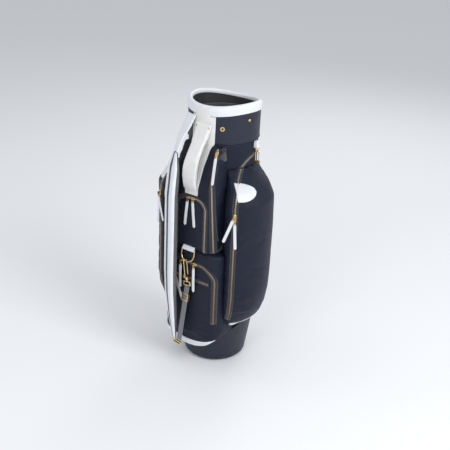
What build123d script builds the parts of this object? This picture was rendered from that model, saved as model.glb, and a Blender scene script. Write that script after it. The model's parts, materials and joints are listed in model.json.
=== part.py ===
from build123d import *
import math
import os

# A golf bag that stands on its own base.  Millimetres, +Z up.
# Origin: centre of the sole, on the floor.  The front (handle and ball pocket) faces -Y.

# ---------------------------------------------------------------- driving dimensions
BAG_HEIGHT = 880.0          # floor to the rim's mean height
RIM_FRONT_DIP = 5.0         # rim is a saddle: front below the mean
RIM_BACK_DIP = 16.0         # back below the mean
RIM_SIDE_RISE = 10.0        # left and right above the mean
RIM_PROUD = 4.0             # rim binding outside the fabric body
RIM_TONGUE = 3.7            # thickness of the binding's inner band
RIM_CAP = 6.0               # thickness of the binding over the ring's top
RIM_BAND = 29.0             # height of the binding's outer band
RIM_INNER_BAND = 14.0       # height of the binding's inner band
RIM_ROUND = 5.0             # rounding of the binding's top edges
TAB_START = 5.0             # the folded tab starts this far below the rim's top

SHELL_R = 108.0             # outer radius of the fabric body
SHELL_WALL = 4.0            # padded fabric
BARREL_WALL = 2.5           # stiff liner tube
LAYER_GAP = 0.3             # clearance between nested layers
CUFF_PROUD = 2.0            # leather cuff outside the fabric body
CUFF_LEATHER = 3.2          # cuff's padded leather
CUFF_DROP = 108.0           # rim's mean height down to the cuff's lower seam
PIPING_R = 1.6              # piping bead at the cuff's seam
COLLAR_DROP = 80.0          # rim's mean height down to the liner tube's top

DIVIDER_DROP = 42.0         # rim's mean height down to the divider's top
DIVIDER_H = 20.0            # height of the padded divider bars
DIVIDER_BAR = 11.0          # width of the padded divider bars
DIVIDER_RING = 5.0          # wall of the divider's ring
DIVIDER_SHEET = 1.6         # fabric sheet under each bar
SHEET_FOOT = 6.0            # gap between the sheets and the liner tube's foot

SOLE_INSET = 0.5            # rubber sole inside the cup's flat underside
SOLE_CHAMFER = 1.0
SOLE_H = 4.0
SOLE_PROUD = 2.0            # how far the sole stands below the cup
CUP_TUCK = 3.5              # base cup's foot inside the fabric body's radius
CUP_FOOT_ROUND = 14.0
CUP_FLARE = 19.0            # the cup's upper edge outside the fabric body's radius
CUP_WALL = 4.0
CUP_FLOOR = 6.0
BARREL_FOOT = 45.0          # the liner tube stands on a ledge at this height
LEDGE = 5.0                 # how far the ledge reaches inside the liner
SEAT_H = 8.0                # the ledge's socket round the liner
SHELL_FOOT = 64.0           # the fabric body goes down inside the cup to here
CUP_FRONT_TOP = 84.0        # height of the cup's edge at the front and back
CUP_SIDE_TOP = 172.0        # and at the left and right
CUP_OVERRUN = 6.0           # the edge's arc and the wall are drawn past the edge, then cut there

BALL_DEPTH = 49.0           # ball pocket's face in front of the shell
BALL_HALF_W = 106.0
BALL_CORNER_R = 40.0
BALL_TOP = 430.0
BALL_TOP_ROUND = 12.0
BALL_ZIP_DROP = 42.0        # ball pocket's top down to the inverted-U zip
BALL_ZIP_FOOT = 190.0
BALL_ZIP_HALF_W = 93.0
BALL_ZIP_CORNER = 52.0
BALL_TUCK = 20.0            # how far the pocket's block is drawn below the cup's edge
SMALL_ZIP_DROP = 56.0       # inverted-U zip's top down to the small zip
SMALL_ZIP_HALF_W = 76.0
TRIM_MIDDLE = 21.0          # height of the white crescent at its middle
TRIM_T = 1.8                # how far leather trim stands out

POUCH_DEPTH = 46.0          # upper front pouch's face in front of the shell
POUCH_HALF_W = 84.0
POUCH_CORNER_R = 35.0
POUCH_SLOPE_DROP = 132.0    # cuff seam down to where the face becomes upright
POUCH_TOP_GAP = 8.0         # cuff seam down to the pouch's top
POUCH_LIP = 1.5             # the pouch's top edge outside the fabric body
POUCH_TOP_HALF_W = 64.0
POUCH_ZIP_TOP_DROP = 35.0   # upright face's top down to the zip's top run
POUCH_ZIP_HALF_W = 54.0
POUCH_ZIP_CORNER = 34.0
POUCH_ZIP_FOOT_GAP = 6.0    # ball pocket's top up to the foot of the upper zips
EDGE_ZIP_FOOT_X = 78.0      # the pouch's second zip, near its right-hand corner
EDGE_ZIP_BEND_X = 70.0
EDGE_ZIP_TOP_X = 61.0
EDGE_ZIP_TOP_GAP = 4.0

ZIP_W = 6.0                 # width of a zip's teeth and binding
ZIP_T = 1.2                 # how far a zip stands out
ZIP_AZIMUTH = 55.0          # the side zip is drawn on a plane facing this way
SIDE_ZIP_U = -20.0          # the zip's straight run, across that plane

SIDE_BULGE = 82.0           # side pocket beyond the shell
SIDE_TOP_DROP = 72.0        # cuff seam down to where the side pocket's shoulder starts
SIDE_SHOULDER = 96.0        # down from there to the full section
SIDE_TUCK = 4.0             # side pocket's foot below the cup's side edge
SIDE_TAPER = 122.0          # foot up to the full section
SIDE_FULL_X = 190.0         # the outline below is drawn for this reach from the bag's axis
PATCH_RISE = 38.0           # full section's top up to the leather patch
PATCH_L = 64.0
PATCH_HALF_H = 24.0
HEM_RISE = 8.0              # side pocket's foot up to its leather hem
HEM_H = 14.0

PANEL_T = 2.4               # leather thickness of the spine panel
PANEL_FOOT_DROP = 24.0      # upright face's top down to the panel's foot
HANDLE_HALF_W = 24.0
HANDLE_TOP_HALF_W = 30.0
HANDLE_LEAN = 8.0           # the handle's top sits this far to the right
HANDLE_STANDOFF = 21.0      # room for the hand behind the grip

WIRE_R = 2.2                # gold rings
PIN_CLEARANCE = 0.05        # radial, in every bore that a pin turns in
D_RING_HALF_W = 24.0
D_RING_DROP = 40.0
TAB_LEATHER = 2.6           # wall of a leather tab round its ring

PULL_L = 92.0               # leather pull, pin to tip
PULL_W = 10.0
PULL_T = 2.6
PULL_PIN_R = 1.2
SLIDER_L = 13.0
SLIDER_W = 8.5
SLIDER_T = 3.0
BRIDGE_W = 2.6
BRIDGE_RISE = 2.4           # pin centre above the slider's face
CHEEK_T = 1.1
SIDE_GAP = 0.3              # clearance beside a moving piece

STRAP_W = 66.0              # padded shoulder strap
STRAP_T = 20.0
STRAP_TURN = -30.0          # azimuth that the strap's face looks to
ADJUSTER_W = 18.0
ADJUSTER_T = 3.0

PANEL_CUFF_W = 44.0         # the panel's right half on the cuff
PANEL_FOOT_W = 23.0
TAB_HALF_W = 24.0           # leather tab folded over the rim
TAB_DROP = 6.0
HANDLE_TOP_RISE = 60.0      # cuff seam up to the handle's top
RIVET_R = 3.6
RIVET_DROP = 60.0           # rim's mean height down to the handle's upper rivets
RIVET_SPREAD = 22.0         # between the two lower rivets
RIVET_TOP_SPREAD = 44.0
RIVET_RAISE = 5.0           # upright face's top up to the lower rivets
RIVET_SHANK = 5.0
STUD_R = 4.5
STUD_AZIMUTH = 78.0
STUD_DROP = 41.0
EYELET_R = 7.0
EYELET_T = 1.6
EYELET_AZIMUTH = 33.0
EYELET_DROP = 62.0
PLATE_T = 1.6
PLATE_W = 20.0
PLATE_H = 7.0
PLATE_DROP = 13.0           # upper rivets down to the plate

POUCH_SLIDER_X = 9.0        # the paired sliders, from the middle
BALL_SLIDER_X = 26.0
SMALL_SLIDER_X = 52.0
EDGE_SLIDER_DROP = 16.0
SIDE_SLIDER_DROP = 42.0     # side pocket's full section down to its lower slider
PULL_CLIP = 8.5             # pin down to the leather
UPPER_LIFT = 5.0            # a bridge stands this much higher where its pull hangs over another slider

TOWEL_AZIMUTH = 98.0
TOWEL_WIRE = 1.8
TOWEL_HALF = 11.0
TOWEL_DROP = 15.0
TOWEL_TAIL = 20.0
TOWEL_BAR_DROP = 24.0       # cuff seam down to the towel ring's bar
CLIP_L = 34.0
CLIP_HALF = 5.5

HOOK_L = 56.0
HOOK_HALF = 7.5
NOSE_L = 5.0
GATE_R = 2.3
GATE_BARREL = 3.2
GATE_PIN_R = 1.0
EAR_T = 1.2
SWIVEL_R = 3.0
D_TAB_TAIL = 10.0
D_RING_RISE = 4.0           # ball pocket's top up to the D-ring's bar
D_RING_LEAN = 11.5          # degrees that the hook pulls the ring away from the bag
HOOK_X = -6.0               # where the hook sits on the D-ring
STRAP_GAP = 2.4             # open pivot between the anchor and the swinging strap
STRAP_FOOT = 112.0          # the padded strap's lower end
STRAP_CLEAR = 38.0          # strap's outer face in front of the ball pocket
STRAP_X = -58.0             # the strap's line, left of the middle
ANCHOR_CLEAR = 6.0          # the pivot in front of the ball pocket's face
ANCHOR_DROP = 33.0          # cuff seam down to the pivot
ANCHOR_T = 7.0
ADJUSTER_TURN = -8.0
BUCKLE_L = 26.0
BUCKLE_DROP = 38.0          # the adjuster's upper end down to the buckle
RING_X = -14.0
RING_W = 40.0

# ---------------------------------------------------------------- derived heights and radii
SEAM_Z = BAG_HEIGHT - CUFF_DROP
COLLAR_Z = BAG_HEIGHT - COLLAR_DROP
BARREL_R = SHELL_R - SHELL_WALL - LAYER_GAP
BARREL_IN = BARREL_R - BARREL_WALL
RIM_R = SHELL_R + RIM_PROUD
RIM_INNER_R = BARREL_IN - RIM_TONGUE
CUFF_R = SHELL_R + CUFF_PROUD
COLLAR_R = CUFF_R - CUFF_LEATHER
CUP_R = SHELL_R - CUP_TUCK
CUP_TOP_R = SHELL_R + CUP_FLARE
SOLE_R = CUP_R - CUP_FOOT_ROUND - SOLE_INSET
BALL_ZIP_TOP = BALL_TOP - BALL_ZIP_DROP
SMALL_ZIP_Z = BALL_ZIP_TOP - SMALL_ZIP_DROP
SIDE_TOP = SEAM_Z - SIDE_TOP_DROP
SIDE_FULL_TOP = SIDE_TOP - SIDE_SHOULDER
SIDE_FOOT = CUP_SIDE_TOP - SIDE_TUCK
SIDE_FULL_FOOT = SIDE_FOOT + SIDE_TAPER
SIDE_SLIDER_Z = SIDE_FULL_TOP - SIDE_SLIDER_DROP
POUCH_TOP = SEAM_Z - POUCH_TOP_GAP
POUCH_FACE_TOP = SEAM_Z - POUCH_SLOPE_DROP
POUCH_ZIP_TOP = POUCH_FACE_TOP - POUCH_ZIP_TOP_DROP
POUCH_FOOT = BALL_TOP + LAYER_GAP
UPPER_ZIP_FOOT = BALL_TOP + POUCH_ZIP_FOOT_GAP
PANEL_FOOT = POUCH_FACE_TOP - PANEL_FOOT_DROP
BALL_FACE = -(SHELL_R + BALL_DEPTH)
POUCH_FACE = -(SHELL_R + POUCH_DEPTH)
SKY = BAG_HEIGHT + 60.0
FAR = 2.5 * (SHELL_R + SIDE_BULGE)
D_RING_Y = BALL_FACE - LAYER_GAP - WIRE_R - PIN_CLEARANCE - TAB_LEATHER
D_RING_Z = BALL_TOP + D_RING_RISE
ANCHOR_POINT = Vector(STRAP_X, BALL_FACE - ANCHOR_CLEAR, SEAM_Z - ANCHOR_DROP)
RING_Y = BALL_FACE - STRAP_CLEAR + 3.0

nodes = {}


# ---------------------------------------------------------------- helpers
def ring(outer, inner, low, high):
    """An upright tube about Z."""
    tall = high - low
    return Pos(0, 0, low) * extrude(Circle(outer) - Circle(inner), amount=tall)


def under_rim(drop):
    """Everything under the rim's saddle, lowered by drop."""
    reach = RIM_R + 20.0
    front = (-reach, BAG_HEIGHT - RIM_FRONT_DIP - drop)
    crest = (0.0, BAG_HEIGHT + RIM_SIDE_RISE - drop)
    back = (reach, BAG_HEIGHT - RIM_BACK_DIP - drop)
    arc = ThreePointArc(front, crest, back)
    rest = Polyline(back, (reach, -50.0), (-reach, -50.0), front)
    return extrude(Plane.YZ * make_face([arc, rest]), amount=FAR, both=True)


def above_cup(raise_by):
    """Everything above the base cup's smile-shaped edge, raised by raise_by."""
    half = CUP_TOP_R + CUP_OVERRUN
    end = CUP_FRONT_TOP + (CUP_SIDE_TOP - CUP_FRONT_TOP) * (half / CUP_TOP_R) ** 2 + raise_by
    left = (-half, end)
    right = (half, end)
    arc = ThreePointArc(left, (0.0, CUP_FRONT_TOP + raise_by), right)
    rest = Polyline(right, (FAR, end), (FAR, SKY), (-FAR, SKY), (-FAR, end), left)
    return extrude(Plane.XZ * make_face([arc, rest]), amount=FAR, both=True)


def front_prism(outline):
    """An XZ outline pushed out through the front of the bag."""
    return Pos(0, -10.0, 0) * extrude(Plane.XZ * outline, amount=FAR)


def inverted_u(half_w, top, foot, corner):
    """The teeth line of an inverted-U zip, as a band ZIP_W wide."""
    points = [(-half_w, foot), (-half_w, top), (half_w, top), (half_w, foot)]
    return trace(FilletPolyline(*points, radius=corner), line_width=ZIP_W)


def box_between(low, high):
    size = [b - a for a, b in zip(low, high)]
    middle = [(a + b) / 2 for a, b in zip(low, high)]
    return Pos(*middle) * Box(*size)


def dome(radius, height):
    """A rivet's low dome, its base on z = 0."""
    sphere_r = (radius * radius + height * height) / (2 * height)
    return Pos(0, 0, height - sphere_r) * Sphere(sphere_r) & Pos(0, 0, height / 2) * Cylinder(radius, height)


def facing(x, y, z, azimuth, tilt=0.0):
    """A frame on the bag's face: local z looks out, local y is up, tilt leans it sideways."""
    turn = math.radians(azimuth)
    out = (math.sin(turn), -math.cos(turn), 0.0)
    across = (math.cos(turn), math.sin(turn), 0.0)
    return Plane(origin=(x, y, z), x_dir=across, z_dir=out).location * Rot(0, 0, tilt)


def mirrored(shape):
    return mirror(shape, about=Plane.YZ)


# ---------------------------------------------------------------- soft bodies, with a skin offset
def front_plan(half_w, face, corner, out):
    """A front pocket's outline from above, run back into the shell."""
    depth = 2 * (out - face)
    plan = Rectangle(2 * (half_w + out), depth)
    plan = fillet(plan.vertices(), corner + out)
    return plan & Pos(0, -depth / 2) * Rectangle(4 * half_w, depth)


def ball_plan(out=0.0):
    return front_plan(BALL_HALF_W, BALL_FACE, BALL_CORNER_R, out)


def ball_solid():
    """Lower front pocket, with a rounded top and the base cup's smile cut from its foot."""
    foot = CUP_FRONT_TOP - BALL_TUCK
    block = Pos(0, 0, foot) * extrude(ball_plan(), amount=BALL_TOP - foot)
    top_edges = block.faces().sort_by(Axis.Z)[-1].edges().filter_by(lambda e: e.center().Y < -30)
    return fillet(top_edges, BALL_TOP_ROUND) & above_cup(LAYER_GAP)


def ball_skin(out):
    """The thin layer that lies on the ball pocket's walls, for its zips and trim."""
    layer = ball_plan(out) - ball_plan()
    foot = CUP_FRONT_TOP - BALL_TUCK
    return Pos(0, 0, foot) * extrude(layer, amount=BALL_TOP - BALL_TOP_ROUND - foot)


def pouch_solid(out=0.0):
    """Upper front pouch: upright below, sloping back to the cuff above."""
    half = POUCH_HALF_W + out
    face = POUCH_FACE - out
    plan = front_plan(POUCH_HALF_W, POUCH_FACE, POUCH_CORNER_R, out)
    block = Pos(0, 0, POUCH_FOOT) * extrude(plan, amount=POUCH_TOP - POUCH_FOOT)
    lip = -(SHELL_R + POUCH_LIP) - out
    side = make_face(Polyline((0, POUCH_FOOT - 1), (0, POUCH_TOP), (lip, POUCH_TOP),
                              (face, POUCH_FACE_TOP), (face, POUCH_FOOT - 1), close=True))
    top_half = POUCH_TOP_HALF_W + out
    right = [(top_half, POUCH_TOP), (half, POUCH_FACE_TOP), (half, POUCH_FOOT - 1)]
    left = [(-half, POUCH_FOOT - 1), (-half, POUCH_FACE_TOP), (-top_half, POUCH_TOP)]
    front = make_face(Polyline(*left, *right, close=True))
    block = block & extrude(Plane.YZ * side, amount=FAR, both=True)
    return block & extrude(Plane.XZ * front, amount=FAR, both=True)


def side_plan(fullness, out):
    """The right-hand pocket's outline at one height, as a spline round its outside."""
    reach = (SHELL_R + SIDE_BULGE) / SIDE_FULL_X
    full = [(106, -114), (137, -126), (164, -111), (184, -78), (SIDE_FULL_X, -35), (184, 10),
            (166, 44), (134, 72), (98, 84)]
    inner = SHELL_R - 2.0
    points = []
    for x, y in full:
        x, y = x * reach, y * reach
        scale = inner / math.hypot(x, y)
        near = (x * scale, y * scale)
        points.append((near[0] + fullness * (x - near[0]), near[1] + fullness * (y - near[1])))
    grown = []
    for i, (x, y) in enumerate(points):
        before = points[max(i - 1, 0)]
        after = points[min(i + 1, len(points) - 1)]
        run = (after[0] - before[0], after[1] - before[1])
        length = math.hypot(*run)
        grown.append((x + out * run[1] / length, y - out * run[0] / length))
    return grown


SIDE_STATIONS = [
    (SIDE_TOP, 0.0), (SIDE_TOP - 0.3 * SIDE_SHOULDER, 0.34), (SIDE_TOP - 0.62 * SIDE_SHOULDER, 0.74),
    (SIDE_FULL_TOP, 1.0), (SIDE_FULL_FOOT, 1.0), (SIDE_FULL_FOOT - 0.4 * SIDE_TAPER, 0.92),
    (SIDE_FULL_FOOT - 0.72 * SIDE_TAPER, 0.74), (SIDE_FOOT, 0.46),
]


def side_solid(out=0.0):
    """Right-hand pocket, a ruled loft through its stations, still running into the shell."""
    sections = []
    for height, fullness in SIDE_STATIONS:
        points = side_plan(fullness, out)
        inner = [points[-1], (30, 50), (30, -50), points[0]]
        sections.append(Pos(0, 0, height) * make_face([Spline(*points), Polyline(*inner)]))
    return loft(sections, ruled=True)


shell_core = Pos(0, 0, BAG_HEIGHT / 2) * Cylinder(SHELL_R, BAG_HEIGHT)
ball = ball_solid() - shell_core
pouch = pouch_solid() - shell_core


# ---------------------------------------------------------------- base
def make_base():
    sole = Pos(0, 0, SOLE_H / 2) * Cylinder(SOLE_R, SOLE_H)
    sole = chamfer(sole.edges().filter_by(GeomType.CIRCLE).sort_by(Axis.Z)[0], SOLE_CHAMFER)
    nodes["base_sole"] = sole

    low = SOLE_PROUD
    slack = CUP_FOOT_ROUND * (1 - math.sqrt(0.5))
    foot_side = (CUP_R, low + CUP_FOOT_ROUND)
    foot_flat = (CUP_R - CUP_FOOT_ROUND, low)
    arc = ThreePointArc(foot_flat, (CUP_R - slack, low + slack), foot_side)
    flare = (CUP_TOP_R - CUP_R) / (CUP_SIDE_TOP - foot_side[1])
    top_z = CUP_SIDE_TOP + 2 * CUP_OVERRUN
    top_r = CUP_R + flare * (top_z - foot_side[1])
    wall = Polyline(foot_side, (top_r, top_z), (0, top_z), (0, low), foot_flat)
    body = revolve(Plane.XZ * make_face([arc, wall]), Axis.Z)
    ledge_in = BARREL_IN - LEDGE
    seat = BARREL_R + LAYER_GAP
    hollow = Polyline((0, low + CUP_FLOOR), (ledge_in - CUP_FOOT_ROUND / 2, low + CUP_FLOOR),
                      (ledge_in, low + CUP_FLOOR + CUP_FOOT_ROUND), (ledge_in, BARREL_FOOT), (seat, BARREL_FOOT),
                      (seat, BARREL_FOOT + SEAT_H), (SHELL_R + LAYER_GAP, SHELL_FOOT),
                      (top_r - CUP_WALL, top_z), (0, top_z), close=True)
    body = body - revolve(Plane.XZ * make_face(hollow), Axis.Z)
    body = body - Pos(0, 0, SOLE_H / 2) * Cylinder(SOLE_R, SOLE_H)
    nodes["base_cup"] = body - above_cup(0.0)


# ---------------------------------------------------------------- liner, shell and top
def make_body():
    nodes["barrel_tube"] = ring(BARREL_R, BARREL_IN, BARREL_FOOT, COLLAR_Z)
    nodes["outer_shell"] = ring(SHELL_R, SHELL_R - SHELL_WALL, SHELL_FOOT, SEAM_Z - PIPING_R - LAYER_GAP)

    skirt = ring(COLLAR_R, BARREL_R + LAYER_GAP, SEAM_Z + 1.0, COLLAR_Z)
    nodes["collar_ring"] = (skirt + ring(COLLAR_R, BARREL_IN, COLLAR_Z, SKY)) & under_rim(RIM_CAP)

    cuff = ring(CUFF_R, COLLAR_R, SEAM_Z + LAYER_GAP, SKY) & under_rim(RIM_BAND)
    bead = Pos(0, 0, SEAM_Z) * Torus(CUFF_R - 0.4, PIPING_R)
    nodes["cuff_cover"] = cuff + bead

    cap = ring(RIM_R, RIM_INNER_R, SEAM_Z, SKY) & (under_rim(0.0) - under_rim(RIM_CAP))
    leg = ring(RIM_R, COLLAR_R, SEAM_Z, SKY) & (under_rim(RIM_CAP) - under_rim(RIM_BAND))
    tongue = ring(BARREL_IN, RIM_INNER_R, SEAM_Z, SKY) & (under_rim(RIM_CAP) - under_rim(RIM_INNER_BAND))
    binding = cap + leg + tongue
    around = [e for e in binding.edges() if e.length > 2 * RIM_R]
    crown = sorted(around, key=lambda e: e.bounding_box().max.Z)[-2:]
    nodes["rim_binding"] = fillet(crown, RIM_ROUND)

    top = BAG_HEIGHT - DIVIDER_DROP
    reach = BARREL_IN - LAYER_GAP
    frame = ring(reach, reach - DIVIDER_RING, top - DIVIDER_H, top)
    cross = Rectangle(2 * reach, DIVIDER_BAR) + Rectangle(DIVIDER_BAR, 2 * reach)
    inside = cross & Circle(reach)
    bars = Pos(0, 0, top - DIVIDER_H) * extrude(inside, amount=DIVIDER_H)
    nodes["divider_frame"] = frame + bars
    sheet_low = BARREL_FOOT + SHEET_FOOT
    sheet = Rectangle(2 * reach, DIVIDER_SHEET) + Rectangle(DIVIDER_SHEET, 2 * reach)
    tall = top - DIVIDER_H - sheet_low
    nodes["divider_sheets"] = Pos(0, 0, sheet_low) * extrude(sheet & Circle(reach), amount=tall)


# ---------------------------------------------------------------- front pockets, zips and trim
def make_front():
    nodes["front_pouch"] = pouch
    nodes["ball_pocket"] = ball

    zip_skin = ball_skin(ZIP_T)
    pouch_skin = pouch_solid(ZIP_T) - pouch_solid()
    u_band = inverted_u(BALL_ZIP_HALF_W, BALL_ZIP_TOP, BALL_ZIP_FOOT, BALL_ZIP_CORNER)
    nodes["ball_zip"] = front_prism(u_band) & zip_skin
    line = Rectangle(2 * SMALL_ZIP_HALF_W, ZIP_W)
    nodes["small_zip"] = front_prism(Pos(0, SMALL_ZIP_Z) * line) & zip_skin
    u_band = inverted_u(POUCH_ZIP_HALF_W, POUCH_ZIP_TOP, UPPER_ZIP_FOOT, POUCH_ZIP_CORNER)
    nodes["pouch_zip"] = front_prism(u_band) & pouch_skin
    edge_line = Polyline((EDGE_ZIP_FOOT_X, UPPER_ZIP_FOOT), (EDGE_ZIP_BEND_X, POUCH_FACE_TOP),
                         (EDGE_ZIP_TOP_X, POUCH_TOP - EDGE_ZIP_TOP_GAP))
    nodes["edge_zip"] = front_prism(trace(edge_line, line_width=ZIP_W)) & pouch_skin


def above_crescent():
    """Everything above the upper edge of the white crescent."""
    half = BALL_HALF_W + 8.0
    end = CUP_SIDE_TOP - 40.0
    arc = ThreePointArc((-half, end), (0, CUP_FRONT_TOP + TRIM_MIDDLE), (half, end))
    rest = Polyline((half, end), (FAR, end), (FAR, SKY), (-FAR, SKY), (-FAR, end), (-half, end))
    return extrude(Plane.XZ * make_face([arc, rest]), amount=FAR, both=True)


# ---------------------------------------------------------------- side pockets
def side_zip_line():
    """The side zip's S-curve on the plane facing ZIP_AZIMUTH: (across, up)."""
    lead = SIDE_FULL_TOP
    points = [(72, lead + 126), (38, lead + 109), (6, lead + 73), (SIDE_ZIP_U + 9, lead + 36)]
    points.append((SIDE_ZIP_U, lead))
    upper = Spline(*points, tangents=[(-2, -1), (0, -1)])
    return [upper, Line((SIDE_ZIP_U, lead), (SIDE_ZIP_U, SIDE_FOOT + 36))]


def turned_prism(outline):
    """An outline on the plane facing ZIP_AZIMUTH, pushed outwards."""
    place = facing(0, 0, 0, ZIP_AZIMUTH)
    return place * Pos(0, 0, 30) * extrude(outline, amount=FAR)


def make_sides():
    keep_off = box_between((-FAR, -FAR, 0), (BALL_HALF_W + LAYER_GAP, 0, BALL_TOP + LAYER_GAP))
    core = side_solid()
    pocket = (core - shell_core - pouch_solid() - keep_off) & above_cup(LAYER_GAP)
    nodes["side_pocket_right"] = pocket
    nodes["side_pocket_left"] = mirrored(pocket)

    grown = side_solid(ZIP_T) + Pos(0, 0, BAG_HEIGHT / 2) * Cylinder(SHELL_R + ZIP_T, BAG_HEIGHT)
    band = turned_prism(trace(Curve() + side_zip_line(), line_width=ZIP_W))
    side_zip = (grown & band) - core - shell_core
    nodes["side_zip_right"] = side_zip
    nodes["side_zip_left"] = mirrored(side_zip)

    skin = side_solid(TRIM_T) - core
    flat = -15.0
    patch_z = SIDE_FULL_TOP + PATCH_RISE
    half_oval = Ellipse(PATCH_L, PATCH_HALF_H) & Pos(PATCH_L, 0) * Rectangle(2 * PATCH_L, 3 * PATCH_HALF_H)
    room = turned_prism(trace(Curve() + side_zip_line(), line_width=ZIP_W + 4 * SIDE_GAP))
    patch = (turned_prism(Pos(flat, patch_z) * half_oval) & skin) - room
    band = box_between((SHELL_R + 2, -118, SIDE_FOOT + HEM_RISE), (FAR, 26, SIDE_FOOT + HEM_RISE + HEM_H))
    hem = (band & skin) & above_cup(LAYER_GAP)
    crescent = (ball_skin(TRIM_T) & above_cup(LAYER_GAP)) - above_crescent()
    nodes["pocket_patches"] = Compound(children=[patch, mirrored(patch)])
    nodes["foot_trim"] = Compound(children=[crescent, hem, mirrored(hem)])


# ---------------------------------------------------------------- spine panel and carry handle
def panel_outline(foot, top):
    """The white spine panel from the front: wide on the cuff, narrow below."""
    right = [(PANEL_CUFF_W - 6, top), (PANEL_CUFF_W, top - 14), (PANEL_CUFF_W - 2, SEAM_Z), (34, SEAM_Z - 18),
             (26, SEAM_Z - 70), (PANEL_FOOT_W, foot)]
    left = [(-PANEL_FOOT_W, foot), (-26, SEAM_Z - 70), (-30, SEAM_Z - 18), (-36, SEAM_Z), (-34, top)]
    return make_face(Polyline(*right, *left, close=True))


def make_spine():
    outline = front_prism(panel_outline(PANEL_FOOT, SKY))
    on_pouch = (pouch_solid(PANEL_T) - pouch_solid()) & outline
    skin_r = CUFF_R + PIPING_R + PANEL_T
    on_cuff = ring(skin_r, CUFF_R + PIPING_R + 0.1, POUCH_TOP, SKY) & outline
    on_cuff = on_cuff & under_rim(RIM_BAND + LAYER_GAP)
    joint = ring(skin_r, SHELL_R + LAYER_GAP, POUCH_TOP, SEAM_Z - PIPING_R - LAYER_GAP) & outline
    tab = front_prism(Pos(2, BAG_HEIGHT) * Rectangle(2 * TAB_HALF_W, 120))
    fold = ring(RIM_R + PANEL_T, RIM_R + 0.1, SEAM_Z, SKY) & tab
    fold = fold & (under_rim(TAB_START) - under_rim(RIM_BAND + TAB_DROP))
    nodes["spine_panel"] = on_cuff + joint + on_pouch + fold


def handle_curves():
    """The padded handle's outer and inner curves from the side, in (Y, Z)."""
    top_y = -(CUFF_R + PIPING_R + PANEL_T + 0.2)
    foot_y = POUCH_FACE - PANEL_T - 0.2
    top_z = SEAM_Z + HANDLE_TOP_RISE
    foot_z = POUCH_FACE_TOP
    bow = POUCH_FACE - PANEL_T - HANDLE_STANDOFF / 2
    outer = [(top_y - 3, top_z), (top_y - 13, top_z - 34), (bow + 14, top_z - 84), (bow - 6, foot_z + 64),
             (bow - 5, foot_z + 28), (foot_y - 4, foot_z - 6)]
    inner = [(foot_y, foot_z - 4), (bow + 5.5, foot_z + 30), (bow + 6, foot_z + 60),
             (bow + 25, top_z - 80), (top_y - 3, top_z - 36), (top_y, top_z - 18)]
    return Spline(*outer), Spline(*inner), (top_y, top_z)


def on_handle(x, z):
    """A frame on the handle's outer face at height z."""
    outer = handle_curves()[0]
    low, high = 0.0, 1.0
    for _ in range(40):
        middle = (low + high) / 2
        low, high = (middle, high) if outer.position_at(middle).Y > z else (low, middle)
    spot = outer.position_at(low)
    along = outer.tangent_at(low)
    pitch = math.degrees(math.atan2(along.X, -along.Y))
    return facing(x, spot.X, z, 0) * Rot(pitch, 0, 0)


def make_handle():
    curve_out, curve_in, top_corner = handle_curves()
    side = make_face([curve_out, Line(curve_out @ 1, curve_in @ 0), curve_in, Line(curve_in @ 1, top_corner),
                      Line(top_corner, curve_out @ 0)])
    body = extrude(Plane.YZ * side, amount=FAR, both=True)
    top = SEAM_Z + HANDLE_TOP_RISE + 5
    foot = POUCH_FACE_TOP - 10
    grip = Polyline((-HANDLE_HALF_W, foot), (HANDLE_HALF_W, foot), (HANDLE_HALF_W + 4, SEAM_Z),
                    (HANDLE_LEAN + HANDLE_TOP_HALF_W, top), (HANDLE_LEAN - HANDLE_TOP_HALF_W, top),
                    (-HANDLE_HALF_W + 4, SEAM_Z), close=True)
    nodes["carry_handle"] = body & front_prism(make_face(grip))


# ---------------------------------------------------------------- rivets, eyelets, badge
def on_cuff_face(azimuth, z, rise):
    turn = math.radians(azimuth)
    reach = CUFF_R + rise
    return facing(reach * math.sin(turn), -reach * math.cos(turn), z, azimuth)


def make_trim():
    head = dome(RIVET_R, 2.0) + Pos(0, 0, -RIVET_SHANK / 2) * Cylinder(RIVET_R / 3, RIVET_SHANK)
    upper_z = BAG_HEIGHT - RIVET_DROP
    lower_z = POUCH_FACE_TOP + RIVET_RAISE
    fasteners = []
    for side in (-1, 1):
        fasteners.append(on_handle(HANDLE_LEAN + side * RIVET_TOP_SPREAD / 2, upper_z) * head)
        fasteners.append(on_handle(side * RIVET_SPREAD / 2, lower_z) * head)
        fasteners.append(on_cuff_face(side * STUD_AZIMUTH, BAG_HEIGHT - STUD_DROP, 0.0) * dome(STUD_R, 2.4))
    nodes["rivets_and_studs"] = Compound(children=fasteners)

    eyelet = Cylinder(EYELET_R, EYELET_T) - Cylinder(EYELET_R / 2.2, 3 * EYELET_T)
    height = BAG_HEIGHT - EYELET_DROP
    eyelets = [on_cuff_face(side * EYELET_AZIMUTH, height, EYELET_T / 2) * eyelet for side in (-1, 1)]
    nodes["eyelets"] = Compound(children=eyelets)
    plate = fillet(Box(PLATE_W, PLATE_H, PLATE_T).edges().filter_by(Axis.Z), 0.3 * PLATE_H)
    nodes["badge_plate"] = on_handle(HANDLE_LEAN, upper_z - PLATE_DROP) * Pos(0, 0, PLATE_T / 2 + 0.3) * plate


# ---------------------------------------------------------------- zip sliders and pulls
FACE_RISE = ZIP_T + SIDE_GAP
PIN_RISE = FACE_RISE + SLIDER_T + BRIDGE_RISE


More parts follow.
